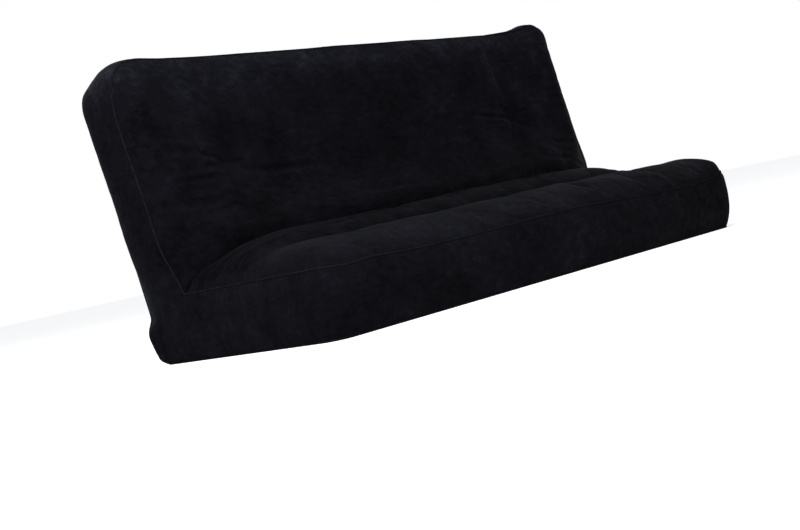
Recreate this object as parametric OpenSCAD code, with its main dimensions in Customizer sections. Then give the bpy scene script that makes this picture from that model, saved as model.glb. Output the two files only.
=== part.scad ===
// Full-size futon mattress, folded once across its width into a sofa seat and back.
// A zipped microsuede cover holds a tufted inner mattress of batting and foam.
// The origin is the centre of the seat's flat underside, +Z is up, +X runs along
// the fold and the front of the seat faces -Y.

/* [Mattress] */
// Overall length along the fold, over the end borders
mattress_length = 1905; // [1500:5:2100]
// Reach of the seat section, from the fold axis to the front of its border
seat_reach = 668; // [560:1:800]
// Reach of the back section, from the fold axis to the top of its head border
back_reach = 772; // [640:1:900]
// Height of the border between its lower and upper seams
border_height = 178; // [160:1:210]
// Radius of the corners in plan
corner_radius = 80; // [50:1:120]
// Radius of the border's outward bulge
bulge_radius = 200; // [160:5:400]
// Height of the widest line of the border above the underside
bulge_height = 100; // [80:1:120]

/* [Crown] */
// Rise of the seat's sleeping panel above the border's upper seam
seat_crown = 62; // [30:1:80]
// Rise of the back's sleeping panel above the border's upper seam
back_crown = 27; // [15:1:60]
// Width over which the seat's panel rounds down to its front seam
seat_crown_run = 120; // [80:1:160]
// Width over which the back's panel rounds down to its head seam
back_crown_run = 88; // [70:1:160]
// Width over which both panels round down to the end seams
end_crown_run = 220; // [150:1:260]
// Rise of the seat's swelling beside the crease above its panel
seat_swell = 45; // [30:1:60]
// Rise of the back's swelling beside the crease above its panel
back_swell = 65; // [30:1:80]
// Radius of the swelling's crest
swell_radius = 65; // [50:1:80]
// Steepest slope from the swelling's crest down to the panel, in degrees
swell_slope = 36; // [30:1:40]

/* [Fold] */
// Height of the fold axis above the underside
fold_height = 42; // [34:1:50]
// Angle that the back is folded up from flat
fold_angle = 81.6; // [60:0.1:100]
// Distance from the fold axis up the mitre over which the two fillings meet
filling_reach = 195; // [185:1:200]
// Running clearance between the two folded sections
fold_gap = 0.6; // [0.4:0.1:2]
// Width left open where the back's underside runs out at the fold
fold_slit = 12; // [10:1:20]

/* [Cover and ticking] */
// Thickness of the microsuede cover
cover_sheet = 1.5; // [1:0.1:3]
// Thickness of the cotton ticking
ticking_sheet = 1; // [0.6:0.1:2]
// Room between the cover and the inner mattress on the top and the borders
cover_ease = 4; // [3.5:0.5:8]
// Thickness of a welt, the piped cord along a seam
welt_thickness = 5; // [3:0.5:8]
// Clearance between layers that lie against each other
layer_gap = 0.3; // [0.2:0.1:0.6]

/* [Filling] */
// Thickness of the lower foam sheet
lower_foam_thickness = 36; // [20:1:45]
// Thickness of the cotton batting between the foam sheets
core_thickness = 48; // [30:1:55]
// Thickness of the upper foam sheet
upper_foam_thickness = 36; // [20:1:45]

/* [Tufts] */
// Number of tufts across each section
tuft_columns = 5; // [3:1:6]
// Distance between tufts along the length
tuft_pitch = 318; // [200:1:330]
// Distance that the tufts are set off the middle of the length
tuft_offset = -34; // [-60:1:60]
// Distance of the row of tufts from the fold axis
tuft_row = 447; // [380:1:480]
// Depth that a tuft pulls into the sleeping panel
dimple_depth = 22; // [8:1:24]
// Radius of a tuft's dimple at the panel
dimple_radius = 62; // [45:1:70]
// Radius of a felt tuft washer
washer_radius = 16; // [10:1:22]
// Thickness of a felt tuft washer
washer_thickness = 5; // [3:0.5:7]
// Thickness of the waxed tufting twine
twine_thickness = 2.5; // [1.5:0.1:4]
// Radius of the knot in the twine
knot_radius = 4; // [3:0.5:6]
// Height of the knot in the twine
knot_height = 2; // [1:0.5:3]

/* [Zip] */
// Height of the zip above the underside on the head border
zip_height = 60; // [45:1:90]
// Distance from each end of the mattress to the zip's end
zip_margin = 75; // [60:1:200]
// Width of the slot in the head border that the zip closes
zip_slot = 26; // [20:1:32]
// Thickness of the zip's woven tape
tape_thickness = 0.6; // [0.4:0.1:0.9]
// Width of one row of teeth
tooth_width = 2.2; // [1.6:0.1:3]
// Height of a row of teeth from its underside to its crest
tooth_height = 2.1; // [1.6:0.1:2.6]
// Slit between the two rows of teeth that the slider's web runs in
tooth_slit = 1.2; // [1:0.1:1.6]
// Length of an end stop along the zip
stop_length = 4; // [2:0.5:8]
// Running clearance round the teeth inside the slider
slider_gap = 0.3; // [0.2:0.05:0.4]
// Length of the slider
slider_length = 13; // [10:0.5:18]
// Wall of the slider's plates
slider_wall = 1.2; // [1:0.1:1.3]
// Length of the pull tab from its pin to its tip
pull_length = 32; // [20:1:45]
// Width of the pull tab
pull_width = 7; // [5:0.5:10]
// Thickness of the pull tab
pull_thickness = 1.6; // [1.2:0.1:2]
// Radius of the pin that the pull tab turns on
pull_pin_radius = 0.8; // [0.6:0.05:1]
// Angle that the resting pull tab dips towards the border
pull_rest = 4; // [0:0.5:5]

/* [Hidden] */
$fn = 48;
wide_arc = 180;
arc_steps = 8;

suede = [0.12, 0.13, 0.18];
piping = [0.20, 0.21, 0.28];
cotton = [0.90, 0.87, 0.78];
batting = [0.93, 0.92, 0.88];
foam = [0.93, 0.85, 0.62];
twine = [0.75, 0.66, 0.48];
felt = [0.82, 0.80, 0.74];
tape = [0.10, 0.10, 0.14];
nylon = [0.14, 0.14, 0.19];
zinc = [0.45, 0.46, 0.48];

// The two sections share their modules: SEAT and BACK pick a value from these lists.
SEAT = 0;
BACK = 1;
reach = [seat_reach, back_reach];
crown = [seat_crown, back_crown];
crown_run = [seat_crown_run, back_crown_run];
swell = [seat_swell, back_swell];
panel_height = [border_height + seat_crown, border_height + back_crown];

half_length = mattress_length / 2;
mitre_angle = (180 - fold_angle) / 2;
far = mattress_length + seat_reach + back_reach;

// The surfaces from outside to inside: how far each is set in from the cover's outer
// surface, at the top and the borders, and at the underside.
ticking_inset = cover_sheet + cover_ease;
ticking_low = cover_sheet + layer_gap;
filling_inset = ticking_inset + ticking_sheet + layer_gap;
filling_low = ticking_low + ticking_sheet + layer_gap;

// The underside of each filling layer, and the top of the last flat one.
lower_foam_z = fold_height;
core_z = lower_foam_z + lower_foam_thickness;
upper_foam_z = core_z + core_thickness;
upper_batting_z = upper_foam_z + upper_foam_thickness;

washer_pocket = washer_thickness + knot_height;
washer_clearance = 0.5;
dimple_rim = 3;
dimple_floor = washer_radius + washer_clearance + dimple_rim;
twine_radius = twine_thickness / 2;
twine_bore = twine_radius + layer_gap;

// A welt lies on the border just outside the seam's edge.
welt_rise = 0.5;
welt_lift = 0.1;
welt_radius = welt_thickness / 2;
welt_seat = welt_radius + layer_gap / 2;
welt_top_z = border_height + welt_rise;
welt_bottom_z = welt_radius + welt_lift;

// How far the border stands behind its widest line at a height.
function set_back(height) =
    bulge_radius - sqrt(pow(bulge_radius, 2) - pow(height - bulge_height, 2));

seam_set_back = set_back(border_height);
seat_depth = seat_reach - set_back(0);
fold_y = seat_depth / 2;

// The barrel is this much larger, so that it crosses the underside cleanly.
barrel_ease = 0.02;

// Where the tufts stand in a section's own frame; the seat's is turned end for end.
function tuft_places(part) =
    [for (column = [0 : tuft_columns - 1])
        [(part == SEAT ? -1 : 1)
            * (tuft_offset + (column - (tuft_columns - 1) / 2) * tuft_pitch), tuft_row]];

// ---- Frames: each section is drawn flat, with the fold axis over y = 0 and the
// section reaching towards +Y, and then put in its place. ----

module place_seat() {
    translate([0, fold_y, 0]) rotate([0, 0, 180]) children();
}

module place_back() {
    translate([0, fold_y, fold_height]) rotate([fold_angle, 0, 0])
        translate([0, 0, -fold_height]) children();
}

// A shape drawn in (distance from the fold, height), run along the fold.
module along_fold(half) {
    translate([-half, 0, 0]) rotate([90, 0, 90]) linear_extrude(2 * half) children();
}

// A shape drawn in (distance along the fold, height), run outwards from the fold.
module away_from_fold(start, end) {
    translate([0, end, 0]) rotate([90, 0, 0]) linear_extrude(end - start) children();
}

// ---- Outline of the border and of the crowned panel ----

// Cross-section of everything inside a bulged border that reaches out to `out`.
module border_profile(out, inset, low, high) {
    intersection() {
        translate([-far, low]) square([far + out, high - low]);
        union() {
            translate([-far, low]) square([far + out - bulge_radius, high - low]);
            translate([out - bulge_radius, bulge_height]) circle(bulge_radius - inset, $fn = wide_arc);
        }
    }
}

// The body inside the border, with rounded corners, from height low to high.
module band(part, inset, low, high) {
    straight_x = half_length - corner_radius;
    straight_y = reach[part] - corner_radius;
    away_from_fold(-2 * fold_height, straight_y) intersection() {
        border_profile(half_length, inset, low, high);
        mirror([1, 0]) border_profile(half_length, inset, low, high);
    }
    along_fold(straight_x) intersection() {
        border_profile(reach[part], inset, low, high);
        translate([straight_y - corner_radius, low]) square([far, high - low]);
    }
    for (side = [0, 1]) mirror([side, 0, 0]) translate([straight_x, straight_y, 0])
        rotate_extrude(angle = 90) intersection() {
            border_profile(corner_radius, inset, low, high);
            translate([0, low]) square([far, high - low]);
        }
}

// Points along a round from one angle to another.
function arc(middle, radius, from, to, first = 0) = [for (step = [first : arc_steps])
    middle + radius * [cos(from + (to - from) * step / arc_steps),
                       sin(from + (to - from) * step / arc_steps)]];

// Half of a crowned panel's cross-section: it rounds down to its seam over `run`.
function crown_arc(seam, run, rise, inset) =
    let (radius = (pow(run, 2) + pow(rise, 2)) / (2 * rise))
    arc([seam - run, border_height + rise - radius], radius - inset,
        90, asin((radius - rise) / (radius - inset)));

// The panel runs up beside the mitre, over the swelling's crest and down to its level.
function crease_arc(part, inset) =
    let (crest_z = panel_height[part] + swell[part] - swell_radius,
         crest_y = (fold_gap / 2 + swell_radius + (crest_z - fold_height) * cos(mitre_angle))
             / sin(mitre_angle),
         hollow_radius = swell[part] / (1 - cos(swell_slope)) - swell_radius,
         hollow_y = crest_y + (swell_radius + hollow_radius) * sin(swell_slope),
         foot_y = (fold_gap / 2 + inset + (border_height - fold_height) * cos(mitre_angle))
             / sin(mitre_angle))
    concat([[foot_y, border_height]],
        arc([crest_y, crest_z], swell_radius - inset, 90 + mitre_angle, 90 - swell_slope),
        arc([hollow_y, panel_height[part] + hollow_radius], hollow_radius + inset,
            270 - swell_slope, 270, 1));

module panel_across_fold(part, inset) {
    polygon(concat(crease_arc(part, inset),
        crown_arc(reach[part] - seam_set_back, crown_run[part], crown[part], inset)));
}

module panel_along_fold(part, inset) {
    right = crown_arc(half_length - seam_set_back, end_crown_run,
        crown[part] + swell[part], inset);
    left = [for (step = [arc_steps : -1 : 0]) [-right[step].x, right[step].y]];
    polygon(concat(left, right));
}

// Plan of the section at the border's upper seam.
module seam_plan(part, inset) {
    x = half_length - seam_set_back - inset;
    y = reach[part] - seam_set_back - inset;
    radius = corner_radius - seam_set_back - inset;
    translate([-x, 0]) square([2 * x, y - radius]);
    translate([-x + radius, 0]) square([2 * (x - radius), y]);
    for (side = [-1, 1]) translate([side * (x - radius), y - radius]) circle(radius);
}

// The crowned part above the border.
module cap(part, inset) {
    intersection() {
        along_fold(half_length) panel_across_fold(part, inset);
        away_from_fold(0, reach[part]) panel_along_fold(part, inset);
        linear_extrude(panel_height[part] + swell[part]) seam_plan(part, inset);
    }
}

// ---- The fold: the seat ends in a round barrel about the fold axis, which turns in
// a socket in the back. Above them both sections end at the mitre. ----

module beyond_mitre() {
    intersection() {
        translate([0, -far]) square([far, 2 * far]);
        translate([0, fold_height]) rotate(mitre_angle)
            translate([-far, -far]) square([2 * far, far - fold_gap / 2]);
    }
}

module barrel(radius) {
    translate([0, fold_height]) circle(radius + barrel_ease);
}

// The side of the fold that a section fills, with the barrel set in by `low`.
module fold_side(part, low) {
    if (part == SEAT) {
        beyond_mitre();
        barrel(fold_height - low);
    } else difference() {
        beyond_mitre();
        barrel(fold_height + fold_gap);
        translate([0, -fold_height]) square([fold_slit, 2 * fold_height]);
    }
}

// Everything inside a surface that is set in by inset, and by low at the underside.
module inside(part, inset, low) {
    intersection() {
        band(part, inset, low, border_height);
        along_fold(half_length) fold_side(part, low);
    }
    cap(part, inset);
}

// ---- Tufts ----

// The dimples that the tufts pull into a surface set in by inset.
module dimples(part, inset) {
    slope = (dimple_radius - dimple_floor) / dimple_depth;
    tall = dimple_depth + seat_crown;
    for (place = tuft_places(part))
        translate([place.x, place.y, panel_height[part] - inset - dimple_depth])
            cylinder(h = tall, r1 = dimple_floor, r2 = dimple_floor + slope * tall);
}

// The pockets that the washers lie in, seen by a surface set in from the ticking.
module washer_pockets(part, depth_in) {
    radius = washer_radius + washer_clearance + depth_in;
    floor_z = panel_height[part] - ticking_inset - dimple_depth - washer_pocket - depth_in;
    for (place = tuft_places(part)) translate([place.x, place.y, 0]) {
        translate([0, 0, -fold_height])
            cylinder(h = fold_height + ticking_low + washer_pocket + depth_in, r = radius);
        translate([0, 0, floor_z]) cylinder(h = border_height, r = radius);
    }
}

module twine_bores(part) {
    for (place = tuft_places(part)) translate([place.x, place.y, -fold_height])
        cylinder(h = 2 * fold_height + panel_height[part], r = twine_bore);
}

// The inner mattress inside a surface that is set in from the ticking's outer face.
module inner_mattress(part, depth_in) {
    difference() {
        inside(part, ticking_inset + depth_in, ticking_low + depth_in);
        dimples(part, ticking_inset + depth_in);
        washer_pockets(part, depth_in);
    }
}

module tuft_washers(part) {
    lower_z = ticking_low + knot_height;
    upper_z = panel_height[part] - ticking_inset - dimple_depth - washer_pocket;
    for (place = tuft_places(part), z = [lower_z, upper_z]) translate([place.x, place.y, z])
        difference() {
            cylinder(h = washer_thickness, r = washer_radius);
            translate([0, 0, -washer_thickness])
                cylinder(h = 3 * washer_thickness, r = twine_bore);
        }
}

module tuft_twines(part) {
    top_z = panel_height[part] - ticking_inset - dimple_depth;
    for (place = tuft_places(part)) translate([place.x, place.y, 0]) {
        translate([0, 0, ticking_low]) cylinder(h = top_z - ticking_low, r = twine_radius);
        translate([0, 0, ticking_low]) cylinder(h = knot_height, r = knot_radius);
        translate([0, 0, top_z - knot_height]) cylinder(h = knot_height, r = knot_radius);
    }
}

// ---- Sheets ----

module cover_top(part) {
    difference() {
        cap(part, 0);
        dimples(part, 0);
        difference() {
            cap(part, cover_sheet);
            dimples(part, cover_sheet);
        }
    }
}

// The underside runs round the seat's barrel, so that it also closes the fold's back.
module cover_underside(part) {
    intersection() {
        band(part, 0, 0, cover_sheet);
        along_fold(half_length) fold_side(part, 0);
    }
    if (part == SEAT) intersection() {
        band(part, 0, 0, border_height);
        along_fold(half_length) difference() {
            barrel(fold_height);
            barrel(fold_height - cover_sheet);
            beyond_mitre();
            translate([0, -far]) square([far, far + cover_sheet]);
        }
    }
}

module border(part) {
    difference() {
        intersection() {
            band(part, 0, cover_sheet, border_height);
            along_fold(half_length) fold_side(part, cover_sheet);
        }
        band(part, cover_sheet, 0, border_height + cover_sheet);
    }
}

// The long strip of border, which turns both corners.
module long_border(part) {
    intersection() {
        border(part);
        translate([-half_length, reach[part] - corner_radius, 0])
            cube([mattress_length, corner_radius, border_height]);
    }
}

// The border at one end of the length: side is -1 at the low end of x, 1 at the high.
module end_border(part, side) {
    intersection() {
        border(part);
        translate([side > 0 ? 0 : -half_length, -2 * fold_height, 0])
            cube([half_length, reach[part] - corner_radius + 2 * fold_height, border_height]);
    }
}

// The mitre's face is open in the ticking, where the two sections' filling meets.
module ticking(part) {
    difference() {
        inner_mattress(part, 0);
        inner_mattress(part, ticking_sheet);
        intersection() {
            band(part, ticking_inset + ticking_sheet, 0, border_height);
            along_fold(half_length) translate([0, fold_height]) rotate(mitre_angle)
                translate([fold_height + fold_gap, -3 * fold_gap])
                square([filling_reach - fold_height, 6 * fold_gap]);
        }
        twine_bores(part);
    }
}

module welt(part, height) {
    out = round(10 * (sqrt(pow(bulge_radius + welt_seat, 2) - pow(height - bulge_height, 2))
        - bulge_radius)) / 10;
    x = half_length + out;
    y = reach[part] + out;
    radius = corner_radius + out;
    start = part == SEAT ? welt_start(height) : max(welt_start(height), back_welt_start);
    for (side = [0, 1]) mirror([side, 0, 0]) {
        translate([x, start, height]) rotate([-90, 0, 0])
            cylinder(h = y - radius - start, r = welt_radius);
        translate([x - radius, y - radius, height]) rotate_extrude(angle = 90)
            translate([radius, 0]) circle(welt_radius);
    }
    translate([radius - x, y, height]) rotate([0, 90, 0])
        cylinder(h = 2 * (x - radius), r = welt_radius);
}

// Where a welt starts beside the fold: clear of the mitre, and of the barrel below it.
back_welt_start = fold_height + fold_gap;
function welt_start(height) = max(0,
    (fold_gap + welt_radius + (height - fold_height) * cos(mitre_angle)) / sin(mitre_angle));

// ---- Filling ----

module layer(part, low, high) {
    difference() {
        intersection() {
            inner_mattress(part, ticking_sheet + layer_gap);
            translate([-half_length, -2 * fold_height, low])
                cube([mattress_length, reach[part] + 2 * fold_height, high - low]);
            if (low >= fold_height) along_fold(half_length) difference() {
                beyond_mitre();
                barrel(fold_height - filling_low);
            }
        }
        twine_bores(part);
    }
}

// The lowest batting rolls up into the barrel at the seat's end.
module lower_batting(part) {
    layer(part, 0, lower_foam_z);
    if (part == SEAT) intersection() {
        band(part, filling_inset, filling_low, border_height);
        along_fold(half_length) difference() {
            barrel(fold_height - filling_low);
            translate([-far, -far]) square([2 * far, far + lower_foam_z]);
        }
    }
}

// ---- Zip: drawn with +Y straight out of the border and z = 0 on the zip's line ----

zip_tilt = asin((zip_height - bulge_height) / bulge_radius);
zip_half = half_length - zip_margin;
tape_top = -(cover_sheet + tape_thickness) / 2 + tape_thickness;
tape_low = tape_top - tape_thickness;
tooth_low = tape_low;
tooth_top = tooth_low + tooth_height;
tooth_out = tooth_slit / 2 + tooth_width;
slider_half_width = tooth_out + slider_gap + slider_wall;
slider_park = zip_half - stop_length - slider_length / 2 - slider_gap;
pin_y = tooth_top + slider_gap + slider_wall + pull_pin_radius + slider_wall;
ear_inside = slider_half_width - slider_wall;
pull_bore = pull_pin_radius + 0.1;

module place_zip() {
    place_back() translate([0, back_reach - bulge_radius, bulge_height])
        rotate([zip_tilt, 0, 0]) translate([0, bulge_radius, 0]) children();
}

module zip_box(x_low, x_high, y_low, y_high, z_low, z_high) {
    translate([x_low, y_low, z_low]) cube([x_high - x_low, y_high - y_low, z_high - z_low]);
}

module zip_opening() {
    zip_box(-zip_half, zip_half, -zip_slot, zip_slot, -zip_slot / 2, zip_slot / 2);
}

module zip_tapes() {
    color(tape) place_zip() for (side = [-1, 1]) {
        inner = side * tooth_out;
        outer = side * zip_slot / 2;
        zip_box(-zip_half, zip_half, tape_low, tape_top, min(inner, outer), max(inner, outer));
    }
}

module zip_teeth() {
    color(nylon) place_zip() for (side = [-1, 1]) {
        inner = side * tooth_slit / 2;
        outer = side * tooth_out;
        zip_box(-zip_half + stop_length, zip_half - stop_length, tooth_low, tooth_top,
            min(inner, outer), max(inner, outer));
    }
}

module zip_stops() {
    color(zinc) place_zip() for (end = [-1, 1])
        zip_box(min(end * zip_half, end * (zip_half - stop_length)),
            max(end * zip_half, end * (zip_half - stop_length)),
            tooth_low, tooth_top, -tooth_out, tooth_out);
}

module zip_slider() {
    half = slider_length / 2;
    top_low = tooth_top + slider_gap;
    top_high = top_low + slider_wall;
    bottom_high = tooth_low - slider_gap;
    bottom_low = bottom_high - slider_wall;
    color(zinc) place_zip() translate([slider_park, 0, 0]) {
        zip_box(-half, half, top_low, top_high, -slider_half_width, slider_half_width);
        zip_box(-half, half, bottom_low, bottom_high, -slider_half_width, slider_half_width);
        zip_box(0, half, bottom_high, top_low,
            -tooth_slit / 2 + slider_gap, tooth_slit / 2 - slider_gap);
        for (side = [0, 1]) mirror([0, 0, side]) {
            zip_box(-half, half, tape_top + slider_gap, top_low, ear_inside, slider_half_width);
            zip_box(-pull_pin_radius - slider_wall, pull_pin_radius + slider_wall,
                top_high, pin_y, ear_inside, slider_half_width);
            translate([0, pin_y, ear_inside])
                cylinder(h = slider_wall, r = pull_pin_radius + slider_wall);
        }
        translate([0, pin_y, -slider_half_width])
            cylinder(h = 2 * slider_half_width, r = pull_pin_radius);
    }
}

module zip_pull() {
    eye_half = ear_inside - slider_gap;
    eye_radius = pull_bore + pull_thickness / 2;
    neck = slider_wall + eye_radius + slider_gap;
    color(zinc) place_zip() translate([slider_park, pin_y, 0]) rotate([0, 0, 180 + pull_rest])
        difference() {
            union() {
                translate([0, 0, -eye_half]) cylinder(h = 2 * eye_half, r = eye_radius);
                zip_box(0, pull_length - pull_width / 2, -pull_thickness / 2,
                    pull_thickness / 2, -eye_half, eye_half);
                zip_box(neck, pull_length - pull_width / 2, -pull_thickness / 2,
                    pull_thickness / 2, -pull_width / 2, pull_width / 2);
                translate([pull_length - pull_width / 2, pull_thickness / 2, 0])
                    rotate([90, 0, 0]) cylinder(h = pull_thickness, r = pull_width / 2);
            }
            translate([0, 0, -pull_width]) cylinder(h = 2 * pull_width, r = pull_bore);
            translate([pull_length - pull_width / 2, pull_width, 0])
                rotate([90, 0, 0]) cylinder(h = 2 * pull_width, r = pull_width / 4);
        }
}

// ---- Seat section ----

module seat_cover_top() { color(suede) place_seat() cover_top(SEAT); }
module seat_cover_underside() { color(suede) place_seat() cover_underside(SEAT); }
module seat_border_front() { color(suede) place_seat() long_border(SEAT); }
module seat_border_left() { color(suede) place_seat() end_border(SEAT, 1); }
module seat_border_right() { color(suede) place_seat() end_border(SEAT, -1); }
module seat_welt_top() { color(piping) place_seat() welt(SEAT, welt_top_z); }
module seat_welt_bottom() { color(piping) place_seat() welt(SEAT, welt_bottom_z); }
module seat_ticking() { color(cotton) place_seat() ticking(SEAT); }
module seat_lower_batting() { color(batting) place_seat() lower_batting(SEAT); }
module seat_lower_foam() { color(foam) place_seat() layer(SEAT, lower_foam_z, core_z); }
module seat_core_batting() { color(batting) place_seat() layer(SEAT, core_z, upper_foam_z); }
module seat_upper_foam() {
    color(foam) place_seat() layer(SEAT, upper_foam_z, upper_batting_z);
}
module seat_upper_batting() {
    color(batting) place_seat() layer(SEAT, upper_batting_z, panel_height[SEAT]);
}
module seat_tuft_twines() { color(twine) place_seat() tuft_twines(SEAT); }
module seat_tuft_washers() { color(felt) place_seat() tuft_washers(SEAT); }

// ---- Back section ----

module back_cover_top() { color(suede) place_back() cover_top(BACK); }
module back_cover_underside() { color(suede) place_back() cover_underside(BACK); }
module back_border_head() {
    color(suede) difference() {
        place_back() long_border(BACK);
        place_zip() zip_opening();
    }
}
module back_border_left() { color(suede) place_back() end_border(BACK, -1); }
module back_border_right() { color(suede) place_back() end_border(BACK, 1); }
module back_welt_top() { color(piping) place_back() welt(BACK, welt_top_z); }
module back_welt_bottom() { color(piping) place_back() welt(BACK, welt_bottom_z); }
module back_ticking() { color(cotton) place_back() ticking(BACK); }
module back_lower_batting() { color(batting) place_back() lower_batting(BACK); }
module back_lower_foam() { color(foam) place_back() layer(BACK, lower_foam_z, core_z); }
module back_core_batting() { color(batting) place_back() layer(BACK, core_z, upper_foam_z); }
module back_upper_foam() {
    color(foam) place_back() layer(BACK, upper_foam_z, upper_batting_z);
}
module back_upper_batting() {
    color(batting) place_back() layer(BACK, upper_batting_z, panel_height[BACK]);
}
module back_tuft_twines() { color(twine) place_back() tuft_twines(BACK); }
module back_tuft_washers() { color(felt) place_back() tuft_washers(BACK); }

seat_cover_top();
seat_cover_underside();
seat_border_front();
seat_border_left();
seat_border_right();
seat_welt_top();
seat_welt_bottom();
seat_ticking();
seat_lower_batting();
seat_lower_foam();
seat_core_batting();
seat_upper_foam();
seat_upper_batting();
seat_tuft_twines();
seat_tuft_washers();
back_cover_top();
back_cover_underside();
back_border_head();
back_border_left();
back_border_right();
back_welt_top();
back_welt_bottom();
back_ticking();
back_lower_batting();
back_lower_foam();
back_core_batting();
back_upper_foam();
back_upper_batting();
back_tuft_twines();
back_tuft_washers();
zip_tapes();
zip_teeth();
zip_stops();
zip_slider();
zip_pull();
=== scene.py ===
"""Dresses the futon mattress: stuffed cover panels, welts, zip, filling and a plain stage."""

import math
from contextlib import contextmanager
from functools import cache

import bpy
import numpy as np
from bpy.props import FloatProperty, FloatVectorProperty, PointerProperty
from mathutils import Matrix, Vector
from mathutils.bvhtree import BVHTree
from mathutils.kdtree import KDTree


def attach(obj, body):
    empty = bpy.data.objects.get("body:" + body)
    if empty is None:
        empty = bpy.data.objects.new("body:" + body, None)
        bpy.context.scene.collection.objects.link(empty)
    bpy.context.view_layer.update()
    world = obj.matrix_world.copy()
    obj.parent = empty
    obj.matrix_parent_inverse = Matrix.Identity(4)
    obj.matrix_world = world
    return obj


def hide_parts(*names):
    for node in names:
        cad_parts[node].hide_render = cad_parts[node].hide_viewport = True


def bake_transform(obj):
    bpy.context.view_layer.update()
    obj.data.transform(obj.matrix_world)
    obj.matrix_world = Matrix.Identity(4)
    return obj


bl_info = {
    "name": "Futon Mattress",
    "version": (1, 0, 0),
    "blender": (4, 5, 0),
    "location": "3D View > Sidebar > Futon",
    "description": "Dresses a folded futon mattress with its cover, welts, zip and filling",
    "category": "Object",
}

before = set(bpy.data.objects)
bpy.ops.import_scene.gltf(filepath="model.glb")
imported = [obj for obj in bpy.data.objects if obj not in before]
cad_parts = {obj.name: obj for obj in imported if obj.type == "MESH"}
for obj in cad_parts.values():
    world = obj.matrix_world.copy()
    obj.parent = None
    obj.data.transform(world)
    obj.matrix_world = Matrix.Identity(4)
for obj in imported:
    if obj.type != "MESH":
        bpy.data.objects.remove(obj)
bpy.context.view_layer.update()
SEAT = "seat_section"
BACK = "back_section"

# ---- Sizes of the two sections, in metres, as the solids have them ----

HALF_LENGTH = 0.9525
FOLD_Y = 0.3206025
FOLD_Z = 0.042
FOLD_ANGLE = math.radians(81.6)
FOLD_COS = math.cos(FOLD_ANGLE)
FOLD_SIN = math.sin(FOLD_ANGLE)
MITRE = (math.pi - FOLD_ANGLE) / 2
REACH = {SEAT: 0.668, BACK: 0.772}
BORDER = 0.178
CORNER = 0.080
BULGE_RADIUS = 0.200
BULGE_HEIGHT = 0.100
PANEL = {SEAT: 0.240, BACK: 0.205}
SWELL = {SEAT: 0.045, BACK: 0.065}
PANEL_RUN = {SEAT: 0.120, BACK: 0.088}
END_CROWN = 0.006
END_RUN = {SEAT: 0.085, BACK: 0.065}
CREST_RADIUS = 0.065
CREST_SLOPE = math.radians(36)
MITRE_GAP = 0.0015
CREASE_REACH = 0.195
TUFTS = {SEAT: ((-0.670, 0.008), (-0.352, 0.007), (-0.034, 0.006), (0.284, 0.007), (0.602, 0.008)),
         BACK: ((-0.668, 0.015), (-0.345, 0.004), (-0.034, 0.003), (0.286, 0.006), (0.599, 0.014))}
TUFT_ROW = 0.445
DIP_RADIUS = 0.050


# ---- Small helpers ----

def deselect():
    """Leave edit mode and select nothing."""
    if bpy.context.object and bpy.context.object.mode != "OBJECT":
        bpy.ops.object.mode_set(mode="OBJECT")
    bpy.ops.object.select_all(action="DESELECT")


def activate(*objects):
    """Select these objects alone; the first becomes the active one."""
    deselect()
    for piece in objects:
        piece.select_set(True)
    bpy.context.view_layer.objects.active = objects[0]


def read_all(elements, name, width=1, kind=float):
    """One property of every element of a mesh, as an array with a row for each."""
    values = np.empty(len(elements) * width, kind)
    elements.foreach_get(name, values)
    return values.reshape(-1, width) if width > 1 else values


def points_of(piece):
    """The piece's vertices as an array of rows."""
    return read_all(piece.data.vertices, "co", 3)


def normals_of(piece):
    """The piece's vertex normals as an array of rows."""
    return read_all(piece.data.vertices, "normal", 3)


def place_points(piece, points):
    """Move every vertex of the piece to its row of the array."""
    piece.data.vertices.foreach_set("co", np.asarray(points, float).ravel())
    piece.data.update()


@contextmanager
def edit_mode(kind="VERT", chosen="SELECT"):
    """Work on the active mesh in edit mode, with all or none of it selected."""
    bpy.ops.object.mode_set(mode="EDIT")
    bpy.ops.mesh.select_mode(type=kind)
    bpy.ops.mesh.select_all(action=chosen)
    yield
    bpy.ops.object.mode_set(mode="OBJECT")


def smooth(t):
    """Ease from 0 to 1."""
    t = np.clip(t, 0, 1)
    return t * t * (3 - 2 * t)


def ease(value, start, width):
    """Ease from 0 to 1 while a value runs over this width from its start."""
    return smooth((value - start) / width)


def at(line, number):
    """Whether lattice lines, which may be in between after subdivision, are this one."""
    return np.abs(line - number) < 0.01


def soft_min(a, b, width):
    """The smaller of two heights, rounded where they cross."""
    blend = np.clip(0.5 + 0.5 * (b - a) / width, 0, 1)
    return b + (a - b) * blend - width * blend * (1 - blend)


# ---- The mattress as two flat sections, and their place when folded ----

def set_back(height):
    """How far the bulged border stands behind its widest line."""
    return BULGE_RADIUS - np.sqrt(BULGE_RADIUS ** 2 - (height - BULGE_HEIGHT) ** 2)


SEAM_BACK = float(set_back(BORDER))
FOOT_BACK = float(set_back(0.0))


def level_panel(section, u):
    """Height of the sleeping panel mid-length, without its swelling beside the crease."""
    top = PANEL[section]
    rise = top - BORDER
    run = PANEL_RUN[section]
    radius = (run ** 2 + rise ** 2) / (2 * rise)
    seam = REACH[section] - SEAM_BACK
    lip = np.clip(u - (seam - run), 0, run)
    height = top - radius + np.sqrt(radius ** 2 - lip ** 2)
    if section == SEAT:
        height = height - HOLLOW_DEPTH * np.exp(-((u - HOLLOW_U) / HOLLOW_WIDTH) ** 2)
    return height


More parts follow.
